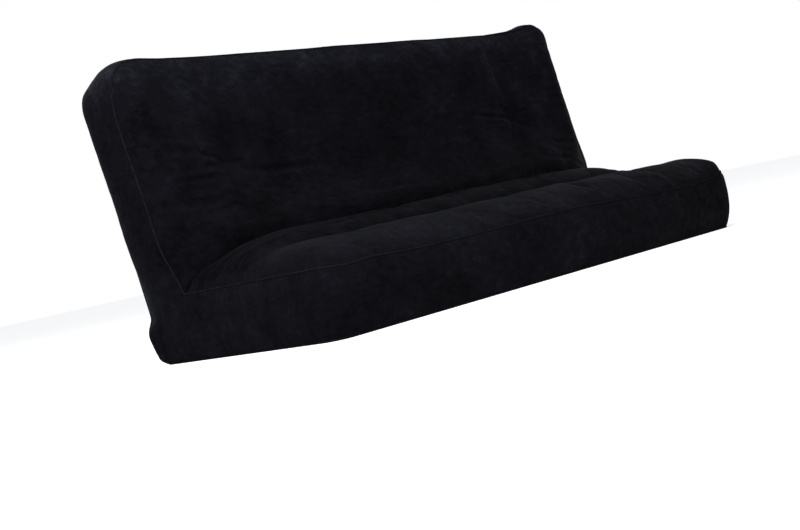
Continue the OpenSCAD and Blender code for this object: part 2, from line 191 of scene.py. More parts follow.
# The seat's front roll, the hollow behind it and its second roll, which is the swelling. The
# waves say how much higher than the solid the two rolls stand, along the length.
HOLLOW_U = 0.400
HOLLOW_WIDTH = 0.030
HOLLOW_DEPTH = 0.0045
ROLL_U = 0.505
ROLL_WIDTH = 0.050
ROLL_WAVE = ((-0.90, 0.002), (-0.47, 0.005), (-0.04, 0.009), (0.21, 0.014), (0.48, 0.010),
             (0.85, 0.006))
SECOND_ROLL_U = 0.245
SECOND_ROLL_REACH = 0.130
SWELL_WAVE = ((-0.25, 0.000), (-0.196, 0.001), (-0.013, 0.006), (0.181, 0.009), (0.386, 0.010),
              (0.605, 0.006), (0.687, 0.002), (0.750, 0.000))


def swelling(section, u):
    """Height that the swelling beside the crease adds, mid-length."""
    top = PANEL[section]
    swell = SWELL[section]
    crest_z = top + swell - CREST_RADIUS
    crest_u = (CREST_RADIUS + MITRE_GAP + (crest_z - FOLD_Z) * math.cos(MITRE)) / math.sin(MITRE)
    hollow = swell / (1 - math.cos(CREST_SLOPE)) - CREST_RADIUS
    hollow_u = crest_u + (CREST_RADIUS + hollow) * math.sin(CREST_SLOPE)
    joint_u = crest_u + CREST_RADIUS * math.sin(CREST_SLOPE)
    on_hollow = hollow - np.sqrt(np.maximum(hollow ** 2 - (u - hollow_u) ** 2, 0))
    on_crest = crest_z - top + np.sqrt(np.maximum(CREST_RADIUS ** 2 - (u - crest_u) ** 2, 0))
    out = np.where(u > joint_u, on_hollow, np.where(u > crest_u, on_crest, swell))
    return np.where(u < hollow_u, out, 0)


def panel_height(section, x, u):
    """Height of the sleeping panel above the section's underside."""
    rise = PANEL[section] - BORDER
    run = END_RUN[section]
    radius = (run ** 2 + rise ** 2) / (2 * rise)
    from_end = HALF_LENGTH - SEAM_BACK - np.abs(x)
    inset = np.clip(run - from_end, 0, run)
    ends = PANEL[section] + END_CROWN - radius + np.sqrt(radius ** 2 - inset ** 2)
    height = soft_min(level_panel(section, u), ends, 0.010)
    inward = ease(from_end, 0.02, 0.24)
    swell = swelling(section, u) * inward
    if section == SEAT:
        # the second roll has a steep front and stands higher in places
        roll = np.sqrt(np.clip(1 - ((u - SECOND_ROLL_U) / SECOND_ROLL_REACH) ** 2, 0, 1))
        roll = np.maximum(roll, swelling(section, u) / SWELL[SEAT])
        swell = roll * (SWELL[SEAT] * inward + np.interp(x, *np.array(SWELL_WAVE).T))
        front = np.interp(x, *np.array(ROLL_WAVE).T)
        height = height + front * np.exp(-((u - ROLL_U) / ROLL_WIDTH) ** 2)
    height = height + swell
    mitre = FOLD_Z + (u - MITRE_GAP / math.sin(MITRE)) * math.tan(MITRE)
    return soft_min(height, mitre, 0.5 * CREST_RADIUS * (1 - math.cos(MITRE)))


def folded(section, x, u, height):
    """World points of places in a flat section, as the folded mattress has them."""
    if section == SEAT:
        return np.stack([x, FOLD_Y - u, height], -1)
    lift = height - FOLD_Z
    return np.stack([x, FOLD_Y + u * FOLD_COS - lift * FOLD_SIN,
                     FOLD_Z + u * FOLD_SIN + lift * FOLD_COS], -1)


def flat(points):
    """(distance from the fold, height) of world points in the seat and the back."""
    y, z = points[:, 1] - FOLD_Y, points[:, 2] - FOLD_Z
    back = (y * FOLD_COS + z * FOLD_SIN, FOLD_Z - y * FOLD_SIN + z * FOLD_COS)
    return (-y, points[:, 2]), back


def mitre_distance(points):
    """Distance from the mitre plane, below 0 on the seat's side and above on the back's."""
    y, z = points[:, 1] - FOLD_Y, points[:, 2] - FOLD_Z
    return y * math.sin(MITRE) + z * math.cos(MITRE)


# ---- The lattice that the skin is shaped from ----

CORNER_CELLS = 6
MIDDLE_CELLS = 172
SEAT_CELLS = 55
BACK_CELLS = 61
LEVELS = np.array([0, 9.4, 18.8, 28.2, 37.6, 47, 60, 73, 83.5, 94, 104.5, 115, 125.5,
                   136, 146.5, 157, 167.5, 178]) / 1000
NX = 2 * CORNER_CELLS + MIDDLE_CELLS
NT = 2 * CORNER_CELLS + SEAT_CELLS + BACK_CELLS
NH = len(LEVELS) - 1
CREASE_ROW = CORNER_CELLS + SEAT_CELLS
ZIP_LEVEL = 6
ZIP_COLUMNS = MIDDLE_CELLS / 2 + 0.4


def on_rim(i, j):
    """Whether lattice columns and rows lie on the outline of the lattice."""
    return at(i, 0) | at(i, NX) | at(j, 0) | at(j, NT)


def past_corners(j):
    """Whether lattice rows lie in the rounded corners, at the front or at the head."""
    return (j < CORNER_CELLS) | (j > NT - CORNER_CELLS)


def box_lattice():
    """A box of two grids and a bridged border, and the lattice place of each vertex."""
    deselect()
    grids = []
    for height in (NH, 0):
        bpy.ops.mesh.primitive_grid_add(x_subdivisions=NX, y_subdivisions=NT, size=1,
                                        location=(0, 0, 0))
        grid = bpy.context.object
        points = points_of(grid)
        points[:, 0] = np.round((points[:, 0] + 0.5) * NX)
        points[:, 1] = np.round((points[:, 1] + 0.5) * NT)
        points[:, 2] = height
        place_points(grid, points)
        grids.append(grid)
    activate(*grids)
    bpy.ops.object.join()
    skin = bpy.context.object
    skin.name = "mattress_skin"
    with edit_mode("EDGE", "DESELECT"):
        bpy.ops.mesh.select_non_manifold()
        bpy.ops.mesh.bridge_edge_loops(number_cuts=NH - 1)
        bpy.ops.mesh.select_all(action="SELECT")
        bpy.ops.mesh.normals_make_consistent(inside=False)
    return skin, np.round(points_of(skin)).astype(int)


def round_corner(p, q):
    """Where a place in the corner's unit square goes in its quarter circle."""
    radius = np.maximum(p, q)
    swap = q > p
    ratio = np.where(swap, p, q) / np.maximum(radius, 1e-9)
    angle = ratio * math.pi / 4
    angle = np.where(swap, math.pi / 2 - angle, angle)
    return radius * np.cos(angle), radius * np.sin(angle)


def plan(i, distance_rows, j, setback):
    """Plan place of lattice columns i and rows j, with the corners rounded."""
    lines = np.abs(i - NX / 2) - MIDDLE_CELLS / 2
    p = np.clip(lines / CORNER_CELLS, 0, 1)
    seat = j <= CREASE_ROW
    q = np.where(seat, CORNER_CELLS - j, j - (NT - CORNER_CELLS)) / CORNER_CELLS
    q = np.clip(q, 0, 1)
    out_x, out_u = round_corner(p, q)
    side = np.sign(i - NX / 2)
    inner_x = (HALF_LENGTH - CORNER) * np.clip(np.abs(i - NX / 2) / (MIDDLE_CELLS / 2), 0, 1)
    radius = CORNER - setback
    x = side * (inner_x + out_x * radius)
    reach = np.where(seat, REACH[SEAT], REACH[BACK]) - CORNER
    u = np.where(q > 0, reach + out_u * radius, distance_rows)
    return x, u


def lattice_rows():
    """How far from the fold each row lies: mid-length, at the ends and on the underside."""
    middle, ends, foot = np.zeros((3, NT + 1))
    half_arc = FOLD_Z * FOLD_ANGLE / 2
    for section, last in ((SEAT, CORNER_CELLS), (BACK, NT - CORNER_CELLS)):
        reach = REACH[section] - CORNER
        u = np.linspace(CREASE_REACH * math.cos(MITRE), reach, 600)
        rise = np.diff(panel_height(section, np.zeros(600), u))
        run = np.concatenate([[0], np.cumsum(np.hypot(np.diff(u), rise))])
        count = abs(last - CREASE_ROW)
        spread = np.interp(np.linspace(0, run[-1], count + 1), run, u)
        edge = (BORDER - FOLD_Z) / math.tan(MITRE)
        rows = np.linspace(CREASE_ROW, last, count + 1).astype(int)
        middle[rows] = spread
        ends[rows] = np.linspace(edge, reach, count + 1)
        foot[rows] = np.linspace(-half_arc, reach, count + 1)
    return middle, ends, foot


def fold_into(points, chosen, seat, x, u, height):
    """Put the chosen lattice points of both sections where the folded mattress has them."""
    for section, mine in ((SEAT, chosen & seat), (BACK, chosen & ~seat)):
        points[mine] = folded(section, x, u, height)[mine]


def shape_panel(points, place, middle, ends):
    """Lay the sleeping panel, whose rows even out towards the ends."""
    i, j, k = place.T
    near_end = smooth((np.abs(i - NX / 2) / (NX / 2) - 0.80) / 0.20)
    rows = middle[j] + (ends[j] - middle[j]) * near_end
    x, u = plan(i, rows, j, SEAM_BACK)
    for section, mine in ((SEAT, j <= CREASE_ROW), (BACK, j > CREASE_ROW)):
        height = np.maximum(panel_height(section, x, u), BORDER)
        height = np.where(on_rim(i, j), BORDER, height)
        mine = mine & (k == NH)
        points[mine] = folded(section, x, u, height)[mine]


def shape_underside(points, place, foot):
    """Lay the rear panel under the seat, round the fold and behind the back."""
    i, j, k = place.T
    seat = j <= CREASE_ROW
    x, u = plan(i, foot[j], j, FOOT_BACK)
    fold_into(points, k == 0, seat, x, np.maximum(u, 0), np.zeros(len(u)))
    turn = -u / FOLD_Z
    angle = np.where(seat, turn, FOLD_ANGLE - turn)
    around = np.stack([x, FOLD_Y + FOLD_Z * np.sin(angle), FOLD_Z - FOLD_Z * np.cos(angle)], -1)
    turned = (k == 0) & (u < 0)
    points[turned] = around[turned]


def shape_borders(points, place, foot, ends):
    """Bulge the borders between their seams, and keep the end borders straight in plan."""
    i, j, k = place.T
    level = LEVELS[k]
    share = k / NH
    rows = foot[j] * (1 - share) + ends[j] * share
    x, u = plan(i, rows, j, set_back(level))
    border = (k > 0) & (k < NH)
    fold_into(points, border, j <= CREASE_ROW, x, u, level)
    index = lattice_index(place)
    at_end = (i == 0) | (i == NX)
    flank = at_end & border & ~past_corners(j)
    low = points[index[i[flank], j[flank], 0]]
    high = points[index[i[flank], j[flank], NH]]
    part = (level[flank] / BORDER)[:, None]
    between = low * (1 - part) + high * part
    between[:, 0] = np.sign(low[:, 0]) * (HALF_LENGTH - set_back(level[flank]))
    points[flank] = between
    # beside the fold the ends stay as wide as the barrel behind them
    from_axis = np.hypot(points[:, 1] - FOLD_Y, points[:, 2] - FOLD_Z)
    barrel = points[:, 2] * (1 - ease(from_axis, 0.052, 0.05))
    barrel = np.where(points[:, 1] < FOLD_Y, 0, barrel)
    wide = np.sign(points[:, 0]) * (HALF_LENGTH - set_back(np.maximum(barrel, level)))
    plain = at_end & (k < NH) & ~past_corners(j)
    points[plain, 0] = wide[plain]


def rest_shape(place):
    """World points of the stuffed mattress for each lattice place."""
    points = np.zeros((len(place), 3))
    middle, ends, foot = lattice_rows()
    shape_panel(points, place, middle, ends)
    shape_underside(points, place, foot)
    shape_borders(points, place, foot, ends)
    return points


def lattice_index(place):
    """Vertex number of every lattice place on the surface."""
    index = np.full((NX + 1, NT + 1, NH + 1), -1)
    index[tuple(place.T)] = np.arange(len(place))
    return index


def slide_seam(points, border, inner, shift):
    """Move the upper seam along the surface, where border and inner are vertex rows."""
    rows = np.concatenate([border, inner])
    line = points[rows]
    run = np.concatenate([[0], np.cumsum(np.linalg.norm(np.diff(line, axis=0), axis=1))])
    rim = run[len(border) - 1]
    new_rim = rim + shift
    spots = np.where(run <= rim, run * new_rim / rim,
                     new_rim + (run - rim) * (run[-1] - new_rim) / (run[-1] - rim))
    for axis in range(3):
        points[rows, axis] = np.interp(spots, run, line[:, axis])


# Height of the front border's seam, and how far the head stands proud, along the length.
FRONT_SEAM = ((-0.952, 0.176), (-0.879, 0.171), (-0.774, 0.177), (-0.629, 0.171),
              (-0.477, 0.171), (-0.312, 0.172), (-0.134, 0.176), (0.056, 0.179),
              (0.255, 0.173), (0.470, 0.166), (0.704, 0.161), (0.860, 0.168), (0.952, 0.174))
HEAD_WAVE = ((-0.952, 0.001), (-0.900, 0.004), (-0.850, 0.008), (-0.775, 0.003),
             (-0.690, 0.001), (-0.605, 0.000), (-0.211, 0.000), (-0.104, 0.002),
             (0.126, 0.001), (0.265, 0.002), (0.331, 0.000), (0.652, 0.000),
             (0.788, 0.008), (0.885, 0.022), (0.952, 0.024))


# How many columns or rows of the panel a sliding seam takes along, and how far each part of a
# used mattress has settled, in metres. The head's left end stands this share less proud.
END_COLUMNS = 15
FRONT_ROWS = 13
FRONT_FADE = 8
END_SEAM_DROP = 0.012
END_FULLER = {SEAT: 0.013, BACK: 0.020}
HEAD_END_FULLER = 0.007
LEFT_HEAD_FLATTER = 0.75
HEAD_CORNER_PROUD = 0.010
SEAT_CORNER_PROUD = 0.008


def drop_end_seams(points, index):
    """Let the upper seams of the back's ends slip down between the crease and the head."""
    up_back = flat(points)[1][0]
    inwards = np.arange(1, END_COLUMNS)
    for column, inner in ((0, inwards), (NX, NX - inwards)):
        for j in range(CREASE_ROW + 1, NT + 1):
            u = up_back[index[column, j, NH]]
            drop = END_SEAM_DROP * ease(u, 0.10, 0.14) * (1 - ease(u, 0.58, 0.13))
            if drop > 0.0005:
                slide_seam(points, index[column, j, :], index[inner, j, NH], -drop)


def wave_front_seam(points, index):
    """Let the upper seam of the front border wander up and down."""
    wave_x, wave_h = np.array(FRONT_SEAM).T
    for i in range(1, NX):
        drop = BORDER - np.interp(points[index[i, 0, NH], 0], wave_x, wave_h)
        drop *= min(1, min(i, NX - i) / FRONT_FADE)
        slide_seam(points, index[i, 0, :], index[i, 1:FRONT_ROWS, NH], -drop)


def settle(points, place):
    """Let the seams wander and the head and the ends fill out as on a used mattress."""
    index = lattice_index(place)
    drop_end_seams(points, index)
    wave_front_seam(points, index)
    away, _ = section_axes(BACK)
    u, h = flat(points)[1]
    proud = np.interp(points[:, 0], *np.array(HEAD_WAVE).T)
    share = ease(u, 0.46, 0.28) * ease(h, 0.086, 0.045)
    points += (proud * share)[:, None] * away
    # both ends stand fuller than the solids
    x = points[:, 0]
    fuller = (END_FULLER[BACK] + HEAD_END_FULLER * ease(u, 0.35, 0.3)) * ease(u, 0.12, 0.16)
    fuller *= smooth(h / 0.05)
    # the zip's slot stays where it is
    fuller *= 1 - ease(u, 0.715, 0.03) * (1 - ease(h, 0.075, 0.03))
    fuller *= np.where(x < 0, 1 - LEFT_HEAD_FLATTER * ease(u, 0.66, 0.09), 1)
    seat_u, seat_h = flat(points)[0]
    seat = mitre_distance(points) < 0
    fuller = np.where(seat, END_FULLER[SEAT] * ease(seat_u, 0.34, 0.15)
                      * ease(seat_h, 0.09, 0.08), fuller)
    x += np.sign(x) * fuller * ease(np.abs(x), 0.84, 0.10)
    # the right corners stand proud
    head_corner = ease(x, 0.84, 0.09) * ease(u, 0.64, 0.10) * ease(h, 0.08, 0.05)
    head_corner = np.where(seat, 0, head_corner)
    points += (HEAD_CORNER_PROUD * head_corner)[:, None] * away
    seat_corner = ease(x, 0.83, 0.09) * ease(seat_u, 0.42, 0.12)
    seat_corner = np.where(seat, seat_corner * ease(seat_h, 0.13, 0.05), 0)
    points[:, [0, 2]] += SEAT_CORNER_PROUD * seat_corner[:, None]
    return points


def tuft_dip(points, section, x, depth):
    """How deep a tuft pulls each point of a section's panel, by distance from it."""
    seat_uv, back_uv = flat(points)
    u = seat_uv[0] if section == SEAT else back_uv[0]
    r = np.hypot(points[:, 0] - x, u - TUFT_ROW)
    return depth * np.exp(-(r / DIP_RADIUS) ** 1.15 * 1.6)


# ---- Stuffing: pressure fills the skin between its seams and tufts ----

# What stays where it is meanwhile: rows beside the crease and at the fold, the rows of the
# seat's hollow, and a spot round each tuft unless it is a faint one. No point may move farther
# than this, and the borders give less.
CREASE_ROWS = 11
FOLD_ROWS = 3
HELD_HOLLOW_U = 0.393
HELD_HOLLOW_HALF = 0.013
HELD_HOLLOW_END = 0.80
HELD_TUFT = 0.012
FAINT_TUFT = 0.0065
FARTHEST = 0.007
BORDER_GIVE = 0.4
FRAMES = 20


def stuff(skin, place, pressure, slack):
    """Blow the skin up as cloth, held at its seams and tufts, and keep the result."""
    i, j, k = place.T
    rest = points_of(skin)
    held = on_rim(i, j) & ((k == NH) | (k == 0))
    held |= (k == 0) & (j <= CREASE_ROW + FOLD_ROWS)
    held |= (k == NH) & (np.abs(j - CREASE_ROW) <= CREASE_ROWS)
    seat_uv, back_uv = flat(rest)
    held |= (j == NT) & (np.abs(k - ZIP_LEVEL) <= 1) & (np.abs(i - NX / 2) < ZIP_COLUMNS + 1)
    hollow = np.abs(seat_uv[0] - HELD_HOLLOW_U) < HELD_HOLLOW_HALF
    held |= hollow & (k == NH) & (j < CREASE_ROW) & (np.abs(rest[:, 0]) < HELD_HOLLOW_END)
    for section, mine, uv in ((SEAT, j < CREASE_ROW, seat_uv), (BACK, j > CREASE_ROW, back_uv)):
        for x, depth in TUFTS[section]:
            near = np.hypot(rest[:, 0] - x, uv[0] - TUFT_ROW) < HELD_TUFT
            held |= near & mine & ((k == 0) | ((k == NH) & (depth > FAINT_TUFT)))
    group = skin.vertex_groups.new(name="held")
    group.add([int(n) for n in np.nonzero(held)[0]], 1.0, "REPLACE")
    cloth = skin.modifiers.new("stuffing", "CLOTH")
    weave = cloth.settings
    weave.quality = 5
    weave.mass = 0.3
    weave.tension_stiffness = 12
    weave.compression_stiffness = 6
    weave.shear_stiffness = 4
    weave.bending_stiffness = 0.4
    weave.use_pressure = True
    weave.uniform_pressure_force = pressure
    weave.vertex_group_mass = "held"
    weave.shrink_min = -slack
    weave.effector_weights.gravity = 0
    cloth.collision_settings.use_collision = False
    cloth.point_cache.frame_start = 1
    cloth.point_cache.frame_end = FRAMES
    scene = bpy.context.scene
    for step in range(1, FRAMES + 1):
        scene.frame_set(step)
    graph = bpy.context.evaluated_depsgraph_get()
    blown = skin.evaluated_get(graph)
    move = points_of(blown) - rest
    skin.modifiers.remove(cloth)
    scene.frame_set(1)
    size = np.linalg.norm(move, axis=1, keepdims=True)
    move *= FARTHEST * np.tanh(size / FARTHEST) / np.maximum(size, 1e-9)
    move[(k > 0) & (k < NH)] *= BORDER_GIVE
    return rest + move


# ---- After the stuffing: room for the filling, sewn detail and wrinkles ----

def section_axes(section):
    """Directions away from the fold and out of the panel, in a section."""
    if section == SEAT:
        return np.array([0.0, -1.0, 0.0]), np.array([0.0, 0.0, 1.0])
    return np.array([0.0, FOLD_COS, FOLD_SIN]), np.array([0.0, -FOLD_SIN, FOLD_COS])


# The core that a ticking's outer faces look away from: half its length, the distance from the
# fold at which it starts, how far short of the reach it ends, and its levels.
CORE_HALF = 0.85
CORE_START = 0.16
CORE_SHORT = 0.11
CORE_LEVELS = (0.09, 0.11)


def outer_faces(node, section):
    """A search tree of the ticking's faces that look out of its section's core."""
    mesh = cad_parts[node].data
    mesh.calc_loop_triangles()
    corners = np.array([v.co for v in mesh.vertices])
    faces = np.array([t.vertices[:] for t in mesh.loop_triangles])
    a, b, c = (corners[faces[:, n]] for n in range(3))
    normal = np.cross(b - a, c - a)
    middle = (a + b + c) / 3
    away, up = section_axes(section)
    from_fold = middle - [0, FOLD_Y, FOLD_Z]
    x, u, h = middle[:, 0], from_fold @ away, FOLD_Z + from_fold @ up
    out = (x - np.clip(x, -CORE_HALF, CORE_HALF)) * normal[:, 0]
    out += (u - np.clip(u, CORE_START, REACH[section] - CORE_SHORT)) * (normal @ away)
    out += (h - np.clip(h, *CORE_LEVELS)) * (normal @ up)
    return BVHTree.FromPolygons(corners.tolist(), faces[out > 0].tolist())


def clear_of_filling(points, room):
    """Move points outwards where the ticking would come within this room of them."""
    points = points.copy()
    sides = mitre_distance(points)
    for node, section, mine in (("seat_ticking", SEAT, sides < 0.06),
                                ("back_ticking", BACK, sides > -0.02)):
        tree = outer_faces(node, section)
        for n in np.nonzero(mine)[0]:
            spot, normal, _, _ = tree.find_nearest(points[n], 0.04)
            if spot is None:
                continue
            ahead = (Vector(points[n]) - spot).dot(normal)
            if ahead < room:
                points[n] += np.array(normal) * (room - ahead)
    return points


def keep_sides(points, place, gap):
    """Keep the two flanks of the crease on their own sides of the mitre."""
    j, k = place[:, 1], place[:, 2]
    distance = mitre_distance(points)
    limit = np.where(j < CREASE_ROW, np.minimum(distance, -gap), np.maximum(distance, gap))
    limit = np.where(at(j, CREASE_ROW), 0, limit)
    shift = np.where(at(k, NH), limit - distance, 0)
    points = points.copy()
    points[:, 1] += shift * math.sin(MITRE)
    points[:, 2] += shift * math.cos(MITRE)
    return points


def groove(x, u, start, end, width, depth, bend=0.0):
    """Height of one wrinkle: a groove from start to end with raised sides."""
    start, end = np.array(start), np.array(end)
    run = end - start
    length = np.hypot(*run)
    ahead = run / length
    dx, du = x - start[0], u - start[1]
    t = (dx * ahead[0] + du * ahead[1]) / length
    off = -dx * ahead[1] + du * ahead[0] + bend * 4 * t * (1 - t)
    ends = smooth(t / 0.22) * smooth((1 - t) / 0.45)
    inside = (t > 0) & (t < 1)
    shape = -np.exp(-(off / width) ** 2)
    shape += 0.55 * np.exp(-((np.abs(off) - 1.9 * width) / (0.9 * width)) ** 2)
    return np.where(inside, depth * ends * shape, 0)


# Wrinkles that run out from the tufts and the crease: start, end, width, depth, bend.
BACK_WRINKLES = [
    ((-0.676, 0.478), (-0.915, 0.516), 0.0085, -0.0026, 0.006),
    ((-0.690, 0.452), (-0.922, 0.492), 0.0070, 0.0034, 0.008),
    ((-0.712, 0.441), (-0.575, 0.430), 0.0070, 0.0026, 0.000),
    ((-0.623, 0.410), (-0.303, 0.396), 0.0095, 0.0046, 0.006),
    ((-0.652, 0.413), (-0.910, 0.416), 0.0080, -0.0024, 0.004),
    ((-0.698, 0.398), (-0.925, 0.399), 0.0080, 0.0016, 0.004),
    ((0.612, 0.450), (0.335, 0.485), 0.0070, 0.0040, -0.006),
    ((0.590, 0.462), (0.700, 0.472), 0.0060, 0.0022, 0.004),
    ((0.180, 0.464), (-0.070, 0.448), 0.0120, 0.0020, 0.006),
    ((-0.940, 0.345), (-0.640, 0.362), 0.0080, 0.0040, 0.014),
    ((-0.930, 0.300), (-0.700, 0.318), 0.0070, 0.0030, 0.010),
    ((-0.320, 0.300), (0.080, 0.285), 0.0110, 0.0028, 0.010),
    ((0.925, 0.205), (0.725, 0.292), 0.0080, 0.0040, -0.012),
    ((0.930, 0.330), (0.700, 0.352), 0.0070, 0.0030, -0.010),
    ((0.910, 0.262), (0.600, 0.300), 0.0080, 0.0030, -0.012),
]
SEAT_WRINKLES = [
    ((-0.935, 0.330), (-0.700, 0.345), 0.0080, 0.0040, 0.012),
    ((0.935, 0.320), (0.690, 0.340), 0.0080, 0.0040, -0.012),
    ((-0.930, 0.265), (-0.780, 0.262), 0.0070, 0.0035, 0.006),
    ((-0.620, 0.345), (-0.140, 0.300), 0.0095, 0.0050, 0.010),
    ((-0.120, 0.318), (0.300, 0.285), 0.0095, 0.0055, 0.010),
    ((0.190, 0.340), (0.640, 0.300), 0.0095, 0.0036, 0.010),
    ((-0.420, 0.250), (-0.050, 0.232), 0.0090, 0.0036, -0.006),
]


# A star of wrinkles starts this far from the middle of a tuft, and is drawn for this depth.
STAR_LINES = 8
STAR_START = 0.012
STAR_DEPTH = 0.020


def star(x, seed, strength):
    """Wrinkles round one tuft, most of them lengthways."""
    pick = np.random.RandomState(seed)
    lines = []
    for n in range(STAR_LINES):
        side = 1 if n % 2 else -1
        angle = pick.normal(0, 0.42) + (0 if side > 0 else math.pi)
        length = pick.uniform(0.055, 0.135)
        width = pick.uniform(0.0045, 0.0070)
        depth = pick.uniform(0.0015, 0.0034) * strength
        start = (x + STAR_START * math.cos(angle), TUFT_ROW + STAR_START * math.sin(angle))
        end = (start[0] + length * math.cos(angle), start[1] + length * math.sin(angle))
        lines.append((start, end, width, depth, pick.uniform(-0.012, 0.012)))
    return lines


def wave(x, seed, lengths):
    """A slow uneven wave along the length, between about -1 and 1."""
    pick = np.random.RandomState(seed)
    total = np.zeros_like(x)
    for length in lengths:
        total += np.sin(2 * math.pi * (x / length + pick.uniform())) * pick.uniform(0.6, 1.0)
    return total / len(lengths)


# How far apart the lattice's lines lie, about; how high the pleats beside the upper and the
# lower seams stand and how far they reach; how deep and how wide the cloth turns in beside a
# seam; and how high the batting's lumps are.
LINE_PITCH = 0.010
UPPER_PLEAT, UPPER_FADE, UPPER_TURN = 0.0007, 0.022, 0.0022
LOWER_PLEAT, LOWER_FADE, LOWER_TURN = 0.0008, 0.020, 0.0018
TURN_WIDTH = 0.007
LUMP = 0.0016


def sewn_detail(skin, place, depth_of_all):
    """Add wrinkles, seam puckers and the groove beside each seam along the normals."""
    points, normals = points_of(skin), normals_of(skin)
    i, j, k = place.T
    x = points[:, 0]
    seat_uv, back_uv = flat(points)
    lift = np.zeros(len(points))
    top = at(k, NH)
    for section, uv, mine, lines in ((SEAT, seat_uv, j < CREASE_ROW, SEAT_WRINKLES),
                                     (BACK, back_uv, j > CREASE_ROW, BACK_WRINKLES)):
        mine = top & mine
        drawn = list(lines)
        for n, (tuft, depth) in enumerate(TUFTS[section]):
            seed = 31 + 7 * n + (40 if section == SEAT else 0)
            drawn += star(tuft, seed, depth / STAR_DEPTH)
        for start, end, width, depth, bend in drawn:
            depth *= depth_of_all
            lift[mine] += groove(x[mine], uv[0][mine], start, end, width, depth, bend)
    # puckers: short pleats that run square to each seam and die out from it
    border = ~at(k, NH) & ~at(k, 0)
    round_section = points[:, 1] + points[:, 2]
    along_rim = np.where(past_corners(j), x, round_section)
    from_edge = np.minimum.reduce([i, NX - i, j, NT - j])
    from_upper = np.where(top, from_edge, NH - k) * LINE_PITCH
    from_lower = k * LINE_PITCH
    pleat = wave(along_rim, 5, (0.031, 0.043, 0.067, 0.023))
    fade = np.exp(-from_upper / UPPER_FADE)
    lift += UPPER_PLEAT * pleat * fade * (from_upper > 0.001)
    fade = np.exp(-from_lower / LOWER_FADE) * border
    lift += LOWER_PLEAT * wave(along_rim, 9, (0.035, 0.052, 0.027)) * fade
    # the cloth turns in beside a seam
    lift -= UPPER_TURN * np.exp(-(from_upper / TURN_WIDTH) ** 2)
    lift -= LOWER_TURN * np.exp(-(from_lower / TURN_WIDTH) ** 2) * border
    # soft unevenness of the batting
    lump = wave(x + 0.4 * points[:, 2], 3, (0.21, 0.34, 0.13))
    lump *= wave(round_section, 4, (0.19, 0.27))
    lift += LUMP * lump * ~at(k, 0)
    lift = np.where(at(k, 0) & (j < CREASE_ROW + FOLD_ROWS), 0, lift)
    from_zip = np.abs(k - ZIP_LEVEL)
    lift *= np.where(at(j, NT) & (from_zip < 2), smooth(from_zip - 1), 1)
    return points + lift[:, None] * normals


# How much painted light lies along the head, how much painted shade on the seat's top behind
# the front roll and low on the back; to the seat's right the painted shade is this share of that.
HEAD_PAINTED_LIGHT = 0.085
HEAD_PAINTED_LIGHT_WAVE = 0.02
SEAT_PAINTED_SHADE = 0.10
LOW_BACK_PAINTED_SHADE = 0.05
RIGHT_SHADE_SHARE = 0.85


def paint_light_and_shade(skin):
    """Store painted light along the head and painted shade on the seat and low on the back."""
    points = points_of(skin)
    (seat_u, seat_h), (back_u, back_h) = flat(points)
    seat = mitre_distance(points) < 0
    x = points[:, 0]
    # painted light: the upper part of the back is made lighter, where light from above falls on it
    head = ease(back_u, 0.60, 0.12) * (HEAD_PAINTED_LIGHT + HEAD_PAINTED_LIGHT_WAVE * wave(x, 12, (0.31, 0.19)))
    # painted shade: the seat's top behind the front roll is made darker, as its shade
    shade_behind_roll = smooth((0.46 - seat_u) / 0.06) * ease(seat_h, 0.19, 0.03)
    # painted shade: the seat's front towards the right end is made darker, where the lamp's light
    # falls off
    to_right = ease(x, 0.15, 0.65) * ease(seat_u, 0.40, 0.10)
    # painted shade: the lower part of the back's face is made darker
    low_back = smooth((0.42 - back_u) / 0.14) * ease(back_h, 0.15, 0.03)
    painted_shade = SEAT_PAINTED_SHADE * np.maximum(shade_behind_roll, RIGHT_SHADE_SHARE * to_right)
    nap = np.where(seat, -painted_shade, head - LOW_BACK_PAINTED_SHADE * low_back)
    # the "nap" attribute holds only this painted light and shade, which the cover's colour reads
    painted_shading = skin.data.attributes.new("nap", "FLOAT", "POINT")
    painted_shading.data.foreach_set("value", nap.astype(np.float32))


def seam_creases(skin, place):
    """Keep the seams sharp when the skin is subdivided."""
    i, j, k = place.T
    a, b = read_all(skin.data.edges, "vertices", 2, int).T
    seam = on_rim(i, j) & ((k == NH) | (k == 0))
    sharp = seam[a] & seam[b] & (k[a] == k[b])
    layer = skin.data.attributes.new("crease_edge", "FLOAT", "EDGE")
    layer.data.foreach_set("value", sharp.astype(np.float32))


def store_place(skin, place):
    """Keep each vertex's lattice place on the mesh, so that it lasts through subdivision."""
    layer = skin.data.attributes.new("lattice", "FLOAT_VECTOR", "POINT")
    layer.data.foreach_set("vector", np.asarray(place, np.float32).ravel())


def stored_place(skin):
    """Read the lattice places back."""
    lattice = skin.data.attributes["lattice"].data
    return read_all(lattice, "vector", 3, np.float32).astype(float)


# ---- Panels: the skin is cut along its seams ----

PANELS = ("sleeping_panel", "rear_panel", "front_border", "head_border", "left_border",
          "right_border")
ZIP_SLOT = len(PANELS)
HEM = 0.003


def face_middles(skin):
    """Lattice place of the middle of each face."""
    place = stored_place(skin)
    corners = read_all(skin.data.loops, "vertex_index", kind=int)
    starts = read_all(skin.data.polygons, "loop_start", kind=int)
    counts = read_all(skin.data.polygons, "loop_total", kind=int)
    return np.add.reduceat(place[corners], starts, axis=0) / counts[:, None]


def panel_of_faces(skin):
    """Which panel each face belongs to."""
    i, j, k = face_middles(skin).T
    sleeping, rear, front, head, left, right = range(len(PANELS))
    number = np.where(i > NX / 2, right, left)
    number[past_corners(j)] = front
    number[(number == front) & (j > NT / 2)] = head
    number[at(k, NH)] = sleeping
    number[at(k, 0)] = rear
    slot = (number == head) & (np.abs(k - ZIP_LEVEL) < 1) & (np.abs(i - NX / 2) < ZIP_COLUMNS)
    number[slot] = ZIP_SLOT
    return number


def cross_fold(piece):
    """Bake a piece's place into its mesh, as the folded mattress has it."""
    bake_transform(piece)


